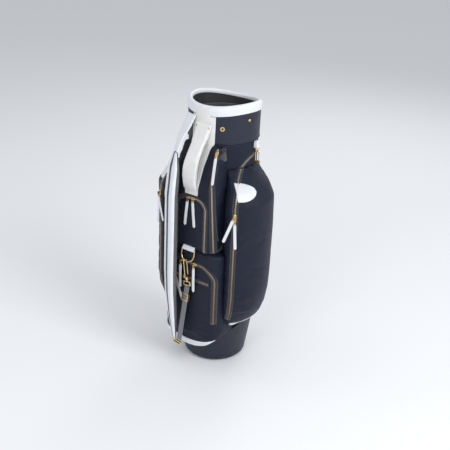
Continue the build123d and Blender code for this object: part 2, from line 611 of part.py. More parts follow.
def zip_slider(place, travel_turn, lift=0.0):
    """A slider with the bridge that the pull's pin turns in.  travel_turn 90 runs it sideways."""
    body = Pos(0, 0, FACE_RISE + SLIDER_T / 2) * Rot(0, 0, travel_turn) * Box(SLIDER_W, SLIDER_L, SLIDER_T)
    tall = BRIDGE_RISE + lift + PULL_PIN_R + 1.0
    bridge = Pos(0, 0, FACE_RISE + SLIDER_T + tall / 2 - 0.2) * Box(BRIDGE_W, 5.0, tall + 0.4)
    bore = Pos(0, 0, PIN_RISE + lift) * Rot(0, 90, 0) * Cylinder(PULL_PIN_R + PIN_CLEARANCE, 3 * BRIDGE_W)
    return place * (body + bridge - bore)


def zip_pull(place, lean, lift=0.0):
    """A leather pull hanging from its pin.  lean swings the soft strip sideways."""
    half = BRIDGE_W / 2 + SIDE_GAP
    pin = Rot(0, 90, 0) * Cylinder(PULL_PIN_R, 2 * (half + CHEEK_T))
    clip = Pos(0, -PULL_CLIP, 0) * Box(2 * (half + CHEEK_T), 3.0, PULL_T)
    for side in (-1, 1):
        cheek_x = side * (half + CHEEK_T / 2)
        clip += Pos(cheek_x, 0.6 - PULL_CLIP / 2, 0) * Box(CHEEK_T, PULL_CLIP + 2.2, PULL_T)
    long = PULL_L - PULL_CLIP
    strip = Pos(0, -long / 2) * SlotOverall(long + 4, PULL_W, rotation=90)
    strip = Pos(0, -PULL_CLIP - 1, -PULL_T / 2) * Rot(0, 0, lean) * extrude(strip, amount=PULL_T)
    return place * Pos(0, 0, PIN_RISE + lift) * (pin + clip + strip)


def side_run_point():
    """Where the side zip's straight run lies on the right pocket's full section, and the way it faces."""
    outline = Spline(*side_plan(1.0, 0.0))
    turn = math.radians(ZIP_AZIMUTH)
    low, high = 0.0, 0.5
    for _ in range(40):
        middle = (low + high) / 2
        spot = outline.position_at(middle)
        across = spot.X * math.cos(turn) + spot.Y * math.sin(turn)
        low, high = (middle, high) if across < SIDE_ZIP_U else (low, middle)
    along = outline.tangent_at(low)
    return spot.X, spot.Y, math.degrees(math.atan2(along.Y, along.X))


def slope_place():
    """The edge zip's slider place, on the pouch's sloping face."""
    lip = -(SHELL_R + POUCH_LIP)
    fall = POUCH_TOP - POUCH_FACE_TOP
    run = lip - POUCH_FACE
    z = POUCH_TOP - EDGE_SLIDER_DROP
    share = EDGE_SLIDER_DROP / fall
    x = EDGE_ZIP_TOP_X + (EDGE_ZIP_BEND_X - EDGE_ZIP_TOP_X) * share
    pitch = math.degrees(math.atan2(run, fall))
    return facing(x, lip - run * share, z, 0) * Rot(-pitch, 0, 0)


def make_sliders():
    for side, word in ((-1, "left"), (1, "right")):
        spot = facing(side * POUCH_SLIDER_X, POUCH_FACE, POUCH_ZIP_TOP, 0)
        nodes[f"pouch_slider_{word}"] = zip_slider(spot, 90)
        nodes[f"pouch_pull_{word}"] = zip_pull(spot, side * 6)
        spot = facing(side * BALL_SLIDER_X, BALL_FACE, BALL_ZIP_TOP, 0)
        nodes[f"ball_slider_{word}"] = zip_slider(spot, 90, UPPER_LIFT)
        nodes[f"ball_pull_{word}"] = zip_pull(spot, 1, UPPER_LIFT)
    spot = slope_place()
    nodes["edge_slider"] = zip_slider(spot, 0)
    nodes["edge_pull"] = zip_pull(spot, 8)
    spot = facing(-SMALL_SLIDER_X, BALL_FACE, SMALL_ZIP_Z, 0)
    nodes["small_slider"] = zip_slider(spot, 90)
    nodes["small_pull"] = zip_pull(spot, 24)
    x, y, azimuth = side_run_point()
    upper = (SIDE_SLIDER_Z + SLIDER_L + 1, -22, UPPER_LIFT, "upper")
    lower = (SIDE_SLIDER_Z, 4, 0.0, "lower")
    for height, lean, lift, word in (upper, lower):
        spot = facing(x, y, height, azimuth)
        slider = zip_slider(spot, 0, lift)
        pull = zip_pull(spot, lean, lift)
        nodes[f"side_slider_right_{word}"] = slider
        nodes[f"side_slider_left_{word}"] = mirrored(slider)
        nodes[f"side_pull_right_{word}"] = pull
        nodes[f"side_pull_left_{word}"] = mirrored(pull)


# ---------------------------------------------------------------- rings and hooks
def d_ring(half, drop, wire):
    """A D-ring hanging from its straight bar, which lies along x through the origin."""
    bar = Rot(0, 90, 0) * Cylinder(wire, 2 * half)
    bow = Torus(half, wire) & Pos(0, -2 * half, 0) * Box(4 * half, 4 * half, 4 * wire)
    shape = bar + Pos(0, half - drop, 0) * bow
    for side in (-1, 1):
        leg = drop - half
        shape += Pos(side * half, -leg / 2, 0) * Rot(90, 0, 0) * Cylinder(wire, leg)
        shape += Pos(side * half, 0, 0) * Sphere(wire)
    return shape


def leather_tab(half, long, wire, stand):
    """A folded tab that holds a D-ring's bar: a round fold on the bar and a tail back to the bag."""
    fold_r = wire + PIN_CLEARANCE + TAB_LEATHER
    fold = Rot(0, 90, 0) * Cylinder(fold_r, 2 * half)
    tail = Pos(0, long / 2, (fold_r - stand) / 2 - fold_r / 2) * Box(2 * half, long, stand)
    bore = Rot(0, 90, 0) * Cylinder(wire + PIN_CLEARANCE, 3 * half)
    return fold + tail - bore


def snap_loop(long, half_w, wire):
    """A sprung hook in its own plane: back, crook and nose, with the gate's ears at the front foot."""
    crook_y = long - half_w
    nose = NOSE_L
    body = Pos(-half_w, crook_y / 2, 0) * Rot(90, 0, 0) * Cylinder(wire, crook_y)
    upper_half = Pos(0, 2 * half_w, 0) * Box(6 * half_w, 4 * half_w, 4 * wire)
    body += Pos(0, crook_y, 0) * (Torus(half_w, wire) & upper_half)
    body += Pos(half_w, crook_y - nose / 2, 0) * Rot(90, 0, 0) * Cylinder(wire, nose)
    ear_in = GATE_BARREL / 2 + SIDE_GAP
    body += box_between((-half_w - wire, -4, -ear_in - EAR_T), (half_w - GATE_R - 1.6, 3.5, ear_in + EAR_T))
    for side in (-1, 1):
        ear_z = side * (ear_in + EAR_T / 2)
        body += Pos(half_w - 0.5, -0.25, ear_z) * Box(2 * GATE_R + 3.2, 7.5, EAR_T)
    body += Pos(half_w, 0, 0) * Cylinder(GATE_PIN_R, 2 * (ear_in + EAR_T))
    gate_top = crook_y - nose - SIDE_GAP
    gate = Pos(half_w, 0, 0) * Cylinder(GATE_R, GATE_BARREL)
    gate += Pos(half_w, gate_top / 2 + 0.5, 0) * Rot(90, 0, 0) * Cylinder(wire * 0.72, gate_top - 1)
    gate -= Pos(half_w, 0, 0) * Cylinder(GATE_PIN_R + PIN_CLEARANCE, 3 * GATE_BARREL)
    return body, gate


def make_towel_ring():
    place = facing(*towel_bar(), TOWEL_AZIMUTH)
    tab_half = TOWEL_HALF - TOWEL_WIRE - 2 * SIDE_GAP
    nodes["towel_tab"] = place * leather_tab(tab_half, TOWEL_TAIL, TOWEL_WIRE, towel_stand())
    nodes["towel_ring"] = place * d_ring(TOWEL_HALF, TOWEL_DROP, TOWEL_WIRE)
    hang = TOWEL_DROP + TOWEL_WIRE
    body, gate = snap_loop(CLIP_L, CLIP_HALF, TOWEL_WIRE)
    upright = place * Pos(0, -hang - CLIP_L + 3 * TOWEL_WIRE + SIDE_GAP, 0) * Rot(0, -90, 0)
    nodes["carabiner"] = upright * body
    nodes["carabiner_gate"] = upright * gate


def towel_stand():
    """How far the towel ring's bar stands off the bag, so that the clip clears it."""
    return CLIP_HALF + TOWEL_WIRE + 1.5


def towel_bar():
    """The towel ring's bar centre."""
    turn = math.radians(TOWEL_AZIMUTH)
    reach = SHELL_R + LAYER_GAP + towel_stand()
    return reach * math.sin(turn), -reach * math.cos(turn), SEAM_Z - TOWEL_BAR_DROP


# ---------------------------------------------------------------- shoulder strap
def hook_frame():
    """The snap hook's frame: y runs up along the strap's swing axis, x looks forward."""
    bow = D_RING_DROP - D_RING_HALF_W + math.sqrt(D_RING_HALF_W ** 2 - HOOK_X ** 2)
    lean = math.radians(D_RING_LEAN)
    held = Vector(HOOK_X, D_RING_Y - bow * math.sin(lean), D_RING_Z - bow * math.cos(lean))
    up = (ANCHOR_POINT - held).normalized()
    foot = held - up * (HOOK_L - 2 * WIRE_R - 3 * SIDE_GAP)
    forward = Vector(0, -1, 0)
    forward = (forward - up * forward.dot(up)).normalized()
    return Plane(origin=foot, x_dir=forward, z_dir=forward.cross(up)).location


def strap_section(x, y, z, width, thick, azimuth=None):
    """A flat section of the strap; (x, y) is the middle of its outer face."""
    turn = math.radians(STRAP_TURN if azimuth is None else azimuth)
    out = Vector(math.sin(turn), -math.cos(turn), 0)
    centre = Vector(x, y, z) - out * (thick / 2)
    flat = Plane(origin=centre, x_dir=(math.cos(turn), math.sin(turn), 0), z_dir=(0, 0, 1))
    return flat * RectangleRounded(width, thick, 0.35 * thick)


def make_strap():
    place = facing(0, D_RING_Y, D_RING_Z, 0)
    stand = BALL_FACE - LAYER_GAP - D_RING_Y
    tab_half = D_RING_HALF_W - WIRE_R - 2 * SIDE_GAP
    nodes["d_ring_tab"] = place * leather_tab(tab_half, D_TAB_TAIL, WIRE_R, stand)
    nodes["d_ring"] = place * Rot(-D_RING_LEAN, 0, 0) * d_ring(D_RING_HALF_W, D_RING_DROP, WIRE_R)

    frame = hook_frame()
    body, gate = snap_loop(HOOK_L, HOOK_HALF, WIRE_R)
    boss = Pos(0, -8, 0) * Rot(90, 0, 0) * Cylinder(SWIVEL_R + 2.5, 9)
    bore = Pos(0, -9, 0) * Rot(90, 0, 0) * Cylinder(SWIVEL_R + PIN_CLEARANCE, 8.2)
    nodes["snap_hook"] = frame * (body + boss - bore)
    nodes["hook_gate"] = frame * gate
    pin = Pos(0, -13.5, 0) * Rot(90, 0, 0) * Cylinder(SWIVEL_R, 16)
    slot = Box(WIRE_R * 4, 15 - 2.4 * WIRE_R, ADJUSTER_W + 2)
    nodes["swivel_eye"] = frame * (pin + Pos(0, -26, 0) * (Box(WIRE_R * 2, 15, ADJUSTER_W + 10) - slot))

    x, y, pivot_z = ANCHOR_POINT
    lift = CUFF_R + PIPING_R + PANEL_T + 4.6
    turn = math.radians(-20)
    top = BAG_HEIGHT - RIM_BAND - 3
    stations = [
        strap_section(lift * math.sin(turn), -lift * math.cos(turn), top, 46, 4.0, -20),
        strap_section(x + 11, y + 36, top - 32, 42, 6.0, -22),
        strap_section(x + 4, y + 16, top - 66, 34, ANCHOR_T, -26),
        strap_section(x, y, pivot_z + STRAP_GAP / 2, 27, ANCHOR_T),
    ]
    nodes["strap_anchor"] = loft(stations, ruled=True)
    pad_z = pivot_z - STRAP_GAP / 2
    low = STRAP_FOOT
    run = pad_z - low
    face = BALL_FACE - STRAP_CLEAR
    stations = [
        strap_section(x, y, pad_z, 26, ANCHOR_T),
        strap_section(x - 2, face + 18, pad_z - 0.065 * run, 0.9 * STRAP_W, 0.9 * STRAP_T),
        strap_section(x - 2, face + 5, pad_z - 0.21 * run, STRAP_W, STRAP_T),
        strap_section(x + 1, face, low + 0.39 * run, STRAP_W, STRAP_T),
        strap_section(x + 4, face, low + 0.265 * run, 0.9 * STRAP_W, STRAP_T),
        strap_section(x + 12, face + 1, low + 0.155 * run, 0.72 * STRAP_W, 0.9 * STRAP_T),
        strap_section(x + 22, face + 3, low + 0.05 * run, 0.46 * STRAP_W, 0.6 * STRAP_T),
        strap_section(x + 28, face + 5, low, 0.36 * STRAP_W, 0.4 * STRAP_T),
    ]
    nodes["strap_pad"] = loft(stations, ruled=True)
    make_adjuster(frame)


def make_adjuster(frame):
    """The narrow adjuster strap from the swivel down to the strap's ring, with its buckle."""
    upper = (frame * Pos(0, -26 - 7.5 + 2.4 * WIRE_R + 0.6, 0)).position
    upper = Vector(upper.X, upper.Y, upper.Z - 8.5)
    lower = Vector(RING_X + 8, RING_Y, STRAP_FOOT + 3)
    fall = (upper - lower).normalized()
    turn = math.radians(ADJUSTER_TURN)
    across = Vector(math.cos(turn), math.sin(turn), 0)
    across = (across - fall * across.dot(fall)).normalized()
    flat = Plane(origin=(upper + lower) * 0.5, x_dir=across, z_dir=across.cross(fall)).location
    long = (upper - lower).length
    nodes["adjuster_strap"] = flat * Box(ADJUSTER_W, long, ADJUSTER_T)
    tunnel = Box(ADJUSTER_W + 1, 2 * BUCKLE_L, ADJUSTER_T + 2 * SIDE_GAP)
    window = Pos(0, 0, 5) * Box(ADJUSTER_W + 1, BUCKLE_L - 6, 10)
    bar = Pos(0, 0, ADJUSTER_T / 2 + SIDE_GAP + 1.2) * Rot(0, 90, 0) * Cylinder(1.2, ADJUSTER_W + 5)
    buckle = Box(ADJUSTER_W + 9, BUCKLE_L, ADJUSTER_T + 5) - tunnel - window + bar
    nodes["buckle"] = flat * Pos(0, long / 2 - BUCKLE_DROP, 0) * buckle
    ring_frame = Box(RING_W, 14, 2 * WIRE_R) - Box(RING_W - 4 * WIRE_R, 14 - 4 * WIRE_R, 4 * WIRE_R)
    turned = facing(RING_X, RING_Y, STRAP_FOOT - 8.5, -12)
    nodes["strap_ring"] = turned * ring_frame


make_base()
make_body()
make_front()
make_sides()
make_spine()
make_handle()
make_trim()
make_sliders()
make_towel_ring()
make_strap()

os.makedirs("parts", exist_ok=True)
for name, shape in nodes.items():
    export_step(shape, f"parts/{name}.step")
    print(name, len(shape.solids()), round(shape.volume / 1000, 2), shape.is_valid)
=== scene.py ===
import json
import math
import random

import bmesh
import bpy
from mathutils import Matrix, Vector, noise
from mathutils.bvhtree import BVHTree
from mathutils.kdtree import KDTree


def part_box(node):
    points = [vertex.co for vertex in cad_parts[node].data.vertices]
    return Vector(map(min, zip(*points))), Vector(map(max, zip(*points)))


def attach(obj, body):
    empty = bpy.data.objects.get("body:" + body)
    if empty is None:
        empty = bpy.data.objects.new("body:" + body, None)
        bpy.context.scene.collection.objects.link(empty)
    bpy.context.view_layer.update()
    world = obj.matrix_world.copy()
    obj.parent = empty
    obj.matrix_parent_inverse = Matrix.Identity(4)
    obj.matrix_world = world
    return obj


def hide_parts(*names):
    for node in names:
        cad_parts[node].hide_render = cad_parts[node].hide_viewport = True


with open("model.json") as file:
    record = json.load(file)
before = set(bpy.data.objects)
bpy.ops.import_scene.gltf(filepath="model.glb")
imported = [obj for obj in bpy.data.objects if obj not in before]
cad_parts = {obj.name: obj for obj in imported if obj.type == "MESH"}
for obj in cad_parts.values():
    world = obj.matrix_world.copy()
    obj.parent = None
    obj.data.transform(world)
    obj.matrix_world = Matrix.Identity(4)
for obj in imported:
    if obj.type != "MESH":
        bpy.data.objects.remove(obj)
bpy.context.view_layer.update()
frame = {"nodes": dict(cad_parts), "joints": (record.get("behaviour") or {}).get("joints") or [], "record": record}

random.seed(7)
MM = 0.001
UP = Vector((0, 0, 1))

# ---------------------------------------------------------------- sizes taken from the frame
SHELL_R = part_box("outer_shell")[1].x
BARREL_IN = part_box("divider_sheets")[1].x
SEAM_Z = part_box("spine_panel")[1].z - 100 * MM
RIM_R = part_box("rim_binding")[1].x
RIM_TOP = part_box("rim_binding")[1].z
BALL_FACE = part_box("ball_pocket")[0].y
POUCH_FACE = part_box("front_pouch")[0].y
CUFF_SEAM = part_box("outer_shell")[1].z + 2 * MM


# ---------------------------------------------------------------- shader helpers
class Value:
    """A shader socket that adds its Math nodes as it is used in a sum."""

    def __init__(self, paint, socket):
        self.paint = paint
        self.socket = socket

    def _maths(self, operation, first, second):
        return self.paint.node("ShaderNodeMath", {"operation": operation}, {0: first, 1: second})

    def __add__(self, other):
        return self._maths("ADD", self, other)

    def __sub__(self, other):
        return self._maths("SUBTRACT", self, other)

    def __rsub__(self, other):
        return self._maths("SUBTRACT", other, self)

    def __mul__(self, other):
        return self._maths("MULTIPLY", self, other)

    def __gt__(self, other):
        return self._maths("GREATER_THAN", self, other)

    def __lt__(self, other):
        return self._maths("LESS_THAN", self, other)

    __radd__ = __add__
    __rmul__ = __mul__


class Paint:
    """One material and the nodes that it is made of."""

    def __init__(self, name, roughness=0.5, metallic=0.0, **fixed):
        self.material = bpy.data.materials.new(name)
        self.material.use_nodes = True
        self.tree = self.material.node_tree
        self.shader = self.tree.nodes["Principled BSDF"]
        self.shader.inputs["Roughness"].default_value = roughness
        self.shader.inputs["Metallic"].default_value = metallic
        for key, value in fixed.items():
            self.shader.inputs[key.replace("_", " ")].default_value = value

    def node(self, kind, settings=None, inputs=None, output=0):
        made = self.tree.nodes.new(kind)
        for key, value in (settings or {}).items():
            if key == "stops":
                for stop, (place, colour) in zip((made.color_ramp.elements[0], made.color_ramp.elements[-1]), value):
                    stop.position = place
                    stop.color = (*colour, 1)
            else:
                setattr(made, key, value)
        for key, value in (inputs or {}).items():
            self.feed(made.inputs[key], value)
        return Value(self, made.outputs[output])

    def feed(self, socket, value):
        if isinstance(value, Value):
            self.tree.links.new(value.socket, socket)
        elif isinstance(value, tuple) and len(value) == 3 and len(socket.default_value) == 4:
            socket.default_value = (*value, 1)
        else:
            socket.default_value = value

    def spot(self):
        return self.node("ShaderNodeTexCoord", output="Object")

    def axis(self, name):
        return self.node("ShaderNodeSeparateXYZ", {}, {0: self.spot()}, output=name)

    def noise(self, scale, detail=2.0, rough=0.5):
        return self.node("ShaderNodeTexNoise", {}, {"Vector": self.spot(), "Scale": scale, "Detail": detail,
                                                    "Roughness": rough})

    def cells(self, scale):
        return self.node("ShaderNodeTexVoronoi", {}, {"Vector": self.spot(), "Scale": scale})

    def bands(self, direction, scale):
        return self.node("ShaderNodeTexWave", {"bands_direction": direction},
                         {"Vector": self.spot(), "Scale": scale, "Distortion": 0.0})

    def mix(self, share, first, second):
        blended = self.node("ShaderNodeMix", {"data_type": "RGBA"}, {0: share, 6: first, 7: second}, output=2)
        return blended

    def colour(self, value):
        self.feed(self.shader.inputs["Base Color"], value)

    def roughness(self, value):
        self.feed(self.shader.inputs["Roughness"], value)

    def bump(self, height, strength, distance):
        bumped = self.node("ShaderNodeBump", {}, {"Height": height, "Strength": strength, "Distance": distance})
        self.feed(self.shader.inputs["Normal"], bumped)


def weave(paint, pitch):
    """Over-and-under threads, pitch apart, as a height."""
    scale = 1 / (6.2832 * pitch) * 3.1416
    warp = paint.bands("Z", scale)
    weft = paint.bands("DIAGONAL", scale)
    return warp * 0.5 + weft * 0.5 + paint.noise(900, 1) * 0.4


def nylon_paint():
    paint = Paint("navy_nylon", Sheen_Weight=0.06, Sheen_Roughness=0.4, Sheen_Tint=(0.35, 0.45, 0.75, 1), Specular_IOR_Level=0.28)
    cloud = paint.noise(9, 3)
    fleck = paint.noise(700, 1)
    base = paint.mix(cloud, (0.003, 0.004, 0.011), (0.007, 0.010, 0.026))
    paint.colour(paint.mix(fleck * 0.4, base, (0.014, 0.019, 0.042)))
    paint.roughness(0.42 + paint.noise(40, 2) * 0.22)
    paint.bump(weave(paint, 0.9 * MM), 0.35, 0.0004)
    return paint.material


def leather_paint(name, dark, light, grain=650, depth=0.0005, rough=0.38):
    paint = Paint(name, Specular_IOR_Level=0.45)
    mottle = paint.noise(28, 4, 0.6)
    pores = paint.cells(grain)
    paint.colour(paint.mix(mottle * 0.7 + pores * 0.3, light, dark))
    paint.roughness(rough + paint.noise(60, 2) * 0.2)
    creases = paint.noise(120, 5, 0.7)
    paint.bump(pores * 0.7 + creases * 0.6, 0.4, depth)
    return paint.material


def metal_paint(name, colour, worn, rough=0.16):
    paint = Paint(name, metallic=1.0)
    wear = paint.noise(90, 4, 0.6)
    paint.colour(paint.mix(wear, colour, worn))
    paint.roughness(rough + paint.noise(240, 3) * 0.18)
    paint.bump(paint.noise(700, 2), 0.12, 0.0002)
    return paint.material


def teeth_paint():
    """Zip teeth: copper metal, with a painted reflection that pales them to champagne towards the top."""
    paint = Paint("zip_teeth", metallic=1.0)
    height = paint.axis("Z")
    # painted reflection: the share rises with height, so the teeth pale from copper to champagne as the bright
    # surroundings would light them from above
    share = paint.node("ShaderNodeMapRange", {}, {"Value": height, "From Min": 0.26, "From Max": 0.66})
    painted_reflection_tone = paint.mix(share, (0.52, 0.34, 0.22), (0.86, 0.79, 0.68))
    paint.colour(paint.mix(paint.noise(150, 2) * 0.4, painted_reflection_tone, (0.45, 0.30, 0.18)))
    paint.roughness(0.2 + paint.noise(300, 2) * 0.2)
    paint.bump(paint.noise(1200, 1), 0.15, 0.0002)
    return paint.material


def cloth_paint(name, dark, light, pitch, rough=0.85, sheen=0.3):
    paint = Paint(name, Sheen_Weight=sheen)
    paint.colour(paint.mix(paint.noise(350, 3), dark, light))
    paint.roughness(rough - paint.noise(30, 2) * 0.12)
    paint.bump(weave(paint, pitch), 0.6, 0.0006)
    return paint.material


def plain_paint(name, dark, light, rough, scale=60):
    paint = Paint(name)
    paint.colour(paint.mix(paint.noise(scale, 4), dark, light))
    paint.roughness(rough + paint.noise(2 * scale, 2) * 0.1)
    paint.bump(paint.noise(800, 2), 0.2, 0.0003)
    return paint.material


def strap_paint():
    """White leather edges and a navy centre on the face, grey spacer mesh on the sides and back."""
    paint = Paint("strap_leather", Sheen_Weight=0.1)
    across = paint.node("ShaderNodeAttribute", {"attribute_name": "across"}, output="Fac")
    face = paint.node("ShaderNodeAttribute", {"attribute_name": "face"}, output="Fac")
    grain = paint.cells(650)
    white = paint.mix(paint.noise(30, 4) * 0.6 + grain * 0.3, (0.86, 0.87, 0.90), (0.68, 0.69, 0.74))
    navy = paint.mix(paint.noise(200, 2), (0.010, 0.013, 0.032), (0.022, 0.028, 0.060))
    mesh = paint.cells(420)
    grey = paint.mix(mesh, (0.03, 0.03, 0.032), (0.16, 0.16, 0.165))
    centre = (across > -0.22) * (across < 0.24)
    front = paint.mix(centre, white, navy)
    paint.colour(paint.mix(face > 0.5, grey, front))
    paint.roughness(0.45 + paint.noise(60, 2) * 0.2)
    ridge = (across > -0.24) * (across < 0.26)
    paint.bump(grain * 0.5 + mesh * 0.6 + ridge * 0.8 + paint.noise(120, 4) * 0.4, 0.4, 0.0008)
    return paint.material


PAINTS = {
    "nylon": nylon_paint(),
    "navy_leather": leather_paint("navy_leather", (0.006, 0.008, 0.018), (0.016, 0.021, 0.042)),
    "white_leather": leather_paint("white_leather", (0.66, 0.67, 0.72), (0.88, 0.885, 0.90)),
    "cream_leather": leather_paint("cream_leather", (0.66, 0.65, 0.64), (0.88, 0.87, 0.85)),
    "pull_leather": leather_paint("pull_leather", (0.70, 0.70, 0.74), (0.90, 0.90, 0.91), 800),
    "gold": metal_paint("gold_metal", (0.84, 0.66, 0.40), (0.60, 0.42, 0.22)),
    "dark_rivet": metal_paint("dark_rivet", (0.16, 0.12, 0.09), (0.30, 0.22, 0.15), 0.3),
    "teeth": teeth_paint(),
    "tape": cloth_paint("zip_tape", (0.010, 0.010, 0.016), (0.028, 0.026, 0.034), 0.5 * MM),
    "white_tape": cloth_paint("white_tape", (0.62, 0.62, 0.66), (0.80, 0.80, 0.83), 0.5 * MM),
    "lining": cloth_paint("lining_fabric", (0.028, 0.028, 0.031), (0.085, 0.085, 0.09), 1.1 * MM, 0.95, 0.6),
    "web": cloth_paint("adjuster_web", (0.13, 0.13, 0.145), (0.26, 0.26, 0.28), 1.0 * MM),
    "plastic": plain_paint("liner_plastic", (0.020, 0.020, 0.022), (0.035, 0.035, 0.038), 0.55),
    "rubber": plain_paint("sole_rubber", (0.012, 0.012, 0.012), (0.028, 0.027, 0.026), 0.7),
    "thread": cloth_paint("white_thread", (0.60, 0.60, 0.62), (0.82, 0.82, 0.84), 0.4 * MM),
    "navy_thread": cloth_paint("navy_thread", (0.02, 0.025, 0.05), (0.05, 0.06, 0.10), 0.4 * MM),
    "strap": strap_paint(),
}


# ---------------------------------------------------------------- mesh helpers
def add_piece(name, form, paint, body, smooth=True):
    """A finished bmesh as a piece of the bag that rides on a CAD body."""
    mesh = bpy.data.meshes.new(name)
    form.to_mesh(mesh)
    form.free()
    if smooth:
        mesh.shade_smooth()
    piece = bpy.data.objects.new(name, mesh)
    bpy.context.collection.objects.link(piece)
    piece.data.materials.append(PAINTS[paint])
    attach(piece, body)
    return piece


def body_of_node(node):
    bodies = frame["record"]["behaviour"]["bodies"]
    return next(body for body, nodes in bodies.items() if node in nodes)


def modify(piece, kind, **settings):
    modifier = piece.modifiers.new(kind.lower(), kind)
    for key, value in settings.items():
        setattr(modifier, key, value)
    return modifier


def applied(piece):
    """The piece with its modifiers applied to its mesh."""
    graph = bpy.context.evaluated_depsgraph_get()
    mesh = bpy.data.meshes.new_from_object(piece.evaluated_get(graph))
    old = piece.data
    piece.modifiers.clear()
    piece.data = mesh
    bpy.data.meshes.remove(old)
    return piece


def copied(node, name, paint):
    """A welded copy of a CAD node, free to change shape."""
    source = frame["nodes"][node]
    form = bmesh.new()
    form.from_mesh(source.data)
    bmesh.ops.remove_doubles(form, verts=form.verts, dist=0.00001)
    bmesh.ops.recalc_face_normals(form, faces=form.faces)
    mesh = bpy.data.meshes.new(name)
    form.to_mesh(mesh)
    form.free()
    piece = bpy.data.objects.new(name, mesh)
    bpy.context.collection.objects.link(piece)
    piece.data.materials.clear()
    piece.data.materials.append(PAINTS[paint])
    return piece


def swelled(piece, voxel, cap, held, pressure=4.0, stretch=-0.012):
    """Puffed-up fabric: a remesh, a cloth run under air pressure, and a cap on how far each point moves."""
    modify(piece, "REMESH", mode="VOXEL", voxel_size=voxel, use_smooth_shade=True)
    applied(piece)
    start = [v.co.copy() for v in piece.data.vertices]
    freedom = [1.0 - held(p) for p in start]
    group = piece.vertex_groups.new(name="held")
    for i, free in enumerate(freedom):
        group.add([i], 1.0 - free, "REPLACE")
    cloth = modify(piece, "CLOTH")
    settings = cloth.settings
    settings.vertex_group_mass = "held"
    settings.use_pressure = True
    settings.uniform_pressure_force = pressure
    settings.effector_weights.gravity = 0.0
    settings.quality = 4
    settings.mass = 0.3
    settings.bending_stiffness = 0.6
    settings.shrink_min = stretch
    cloth.collision_settings.use_collision = False
    cloth.point_cache.frame_start = 1
    cloth.point_cache.frame_end = 20
    for step in range(1, 21):
        bpy.context.scene.frame_set(step)
    applied(piece)
    piece.vertex_groups.clear()
    bpy.context.scene.frame_set(1)
    for vertex, home, free in zip(piece.data.vertices, start, freedom):
        move = vertex.co - home
        if move.length > cap:
            move *= cap / move.length
        vertex.co = home + move * free
    piece.data.shade_smooth()
    return piece


def finish_soft(piece, node):
    modify(piece, "SUBSURF", levels=1, render_levels=1)
    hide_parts(node)
    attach(piece, body_of_node(node))
    return piece


def tree_of(objects):
    """A search tree over the final surfaces of several pieces."""
    graph = bpy.context.evaluated_depsgraph_get()
    form = bmesh.new()
    for piece in objects:
        mesh = bpy.data.meshes.new_from_object(piece.evaluated_get(graph))
        form.from_mesh(mesh)
        bpy.data.meshes.remove(mesh)
    tree = BVHTree.FromBMesh(form)
    form.free()
    return tree


class Side:
    """A flat drawing plane facing one way, whose drawings are laid onto the bag behind it."""

    def __init__(self, tree, azimuth):
        turn = math.radians(azimuth)
        self.tree = tree
        self.across = Vector((math.cos(turn), math.sin(turn), 0))
        self.out = Vector((math.sin(turn), -math.cos(turn), 0))

    def lay(self, u, z, rise=0.0):
        """The point of the surface behind (u, z), lifted by rise, and the surface's normal."""
        start = self.across * u + UP * z + self.out * 0.5
        point, normal, _, _ = self.tree.ray_cast(start, -self.out)
        if point is None:
            return None
        if normal.dot(self.out) < 0:
            normal = -normal
        return point + normal * rise, normal


def evenly(points, step):
    """A polyline's points moved to even spacing."""
    spots = [Vector((*p, 0)) if len(p) == 2 else Vector(p) for p in points]
    lengths = [0.0]
    for a, b in zip(spots, spots[1:]):
        lengths.append(lengths[-1] + (b - a).length)
    count = max(2, round(lengths[-1] / step))
    result = []
    k = 0
    for i in range(count + 1):
        goal = lengths[-1] * i / count
        while k < len(lengths) - 2 and lengths[k + 1] < goal:
            k += 1
        share = (goal - lengths[k]) / max(lengths[k + 1] - lengths[k], 1e-9)
        result.append(spots[k].lerp(spots[k + 1], min(1, share)))
    return result


def inverted_u(half, top, foot, corner):
    """An inverted U with round corners, as (u, z) points."""
    points = [(-half, foot)]
    for side, first, last in ((-1, 180, 90), (1, 90, 0)):
        for step in range(13):
            turn = math.radians(first + (last - first) * step / 12)
            points.append((side * (half - corner) + corner * math.cos(turn), top - corner + corner * math.sin(turn)))
    points.append((half, foot))
    return points


def smooth_line(points, steps=10):
    """A Catmull-Rom curve through (u, z) points."""
    spots = [Vector((*p, 0)) for p in points]
    spots = [2 * spots[0] - spots[1], *spots, 2 * spots[-1] - spots[-2]]
    result = []
    for a, b, c, d in zip(spots, spots[1:], spots[2:], spots[3:]):
        for step in range(steps):
            t = step / steps
            result.append(0.5 * (2 * b + (c - a) * t + (2 * a - 5 * b + 4 * c - d) * t * t
                                 + (3 * b - a - 3 * c + d) * t ** 3))
    result.append(spots[-2])
    return result


def ribbon(side, line, half_width, profile, step=4 * MM):
    """A strip that follows a (u, z) line over the surface; profile gives its rise at even places across."""
    spots = evenly(line, step)
    form = bmesh.new()
    rows = []
    for i, spot in enumerate(spots):
        ahead = spots[min(i + 1, len(spots) - 1)]
        behind = spots[max(i - 1, 0)]
        along = (ahead - behind).normalized()
        sideways = Vector((along.y, -along.x, 0))
        row = []
        for k, rise in enumerate(profile):
            place = spot + sideways * half_width * (2 * k / (len(profile) - 1) - 1)
            hit = side.lay(place.x, place.y, rise)
            if hit is None:
                row = None
                break
            row.append(form.verts.new(hit[0]))
        if row:
            rows.append(row)
    for low, high in zip(rows, rows[1:]):
        for k in range(len(profile) - 1):
            form.faces.new((low[k], low[k + 1], high[k + 1], high[k]))
    bmesh.ops.recalc_face_normals(form, faces=form.faces)
    if rows:
        face = form.faces[:][0] if form.faces else None
        if face and face.normal.dot(side.out) < 0:
            bmesh.ops.reverse_faces(form, faces=form.faces)
    return form


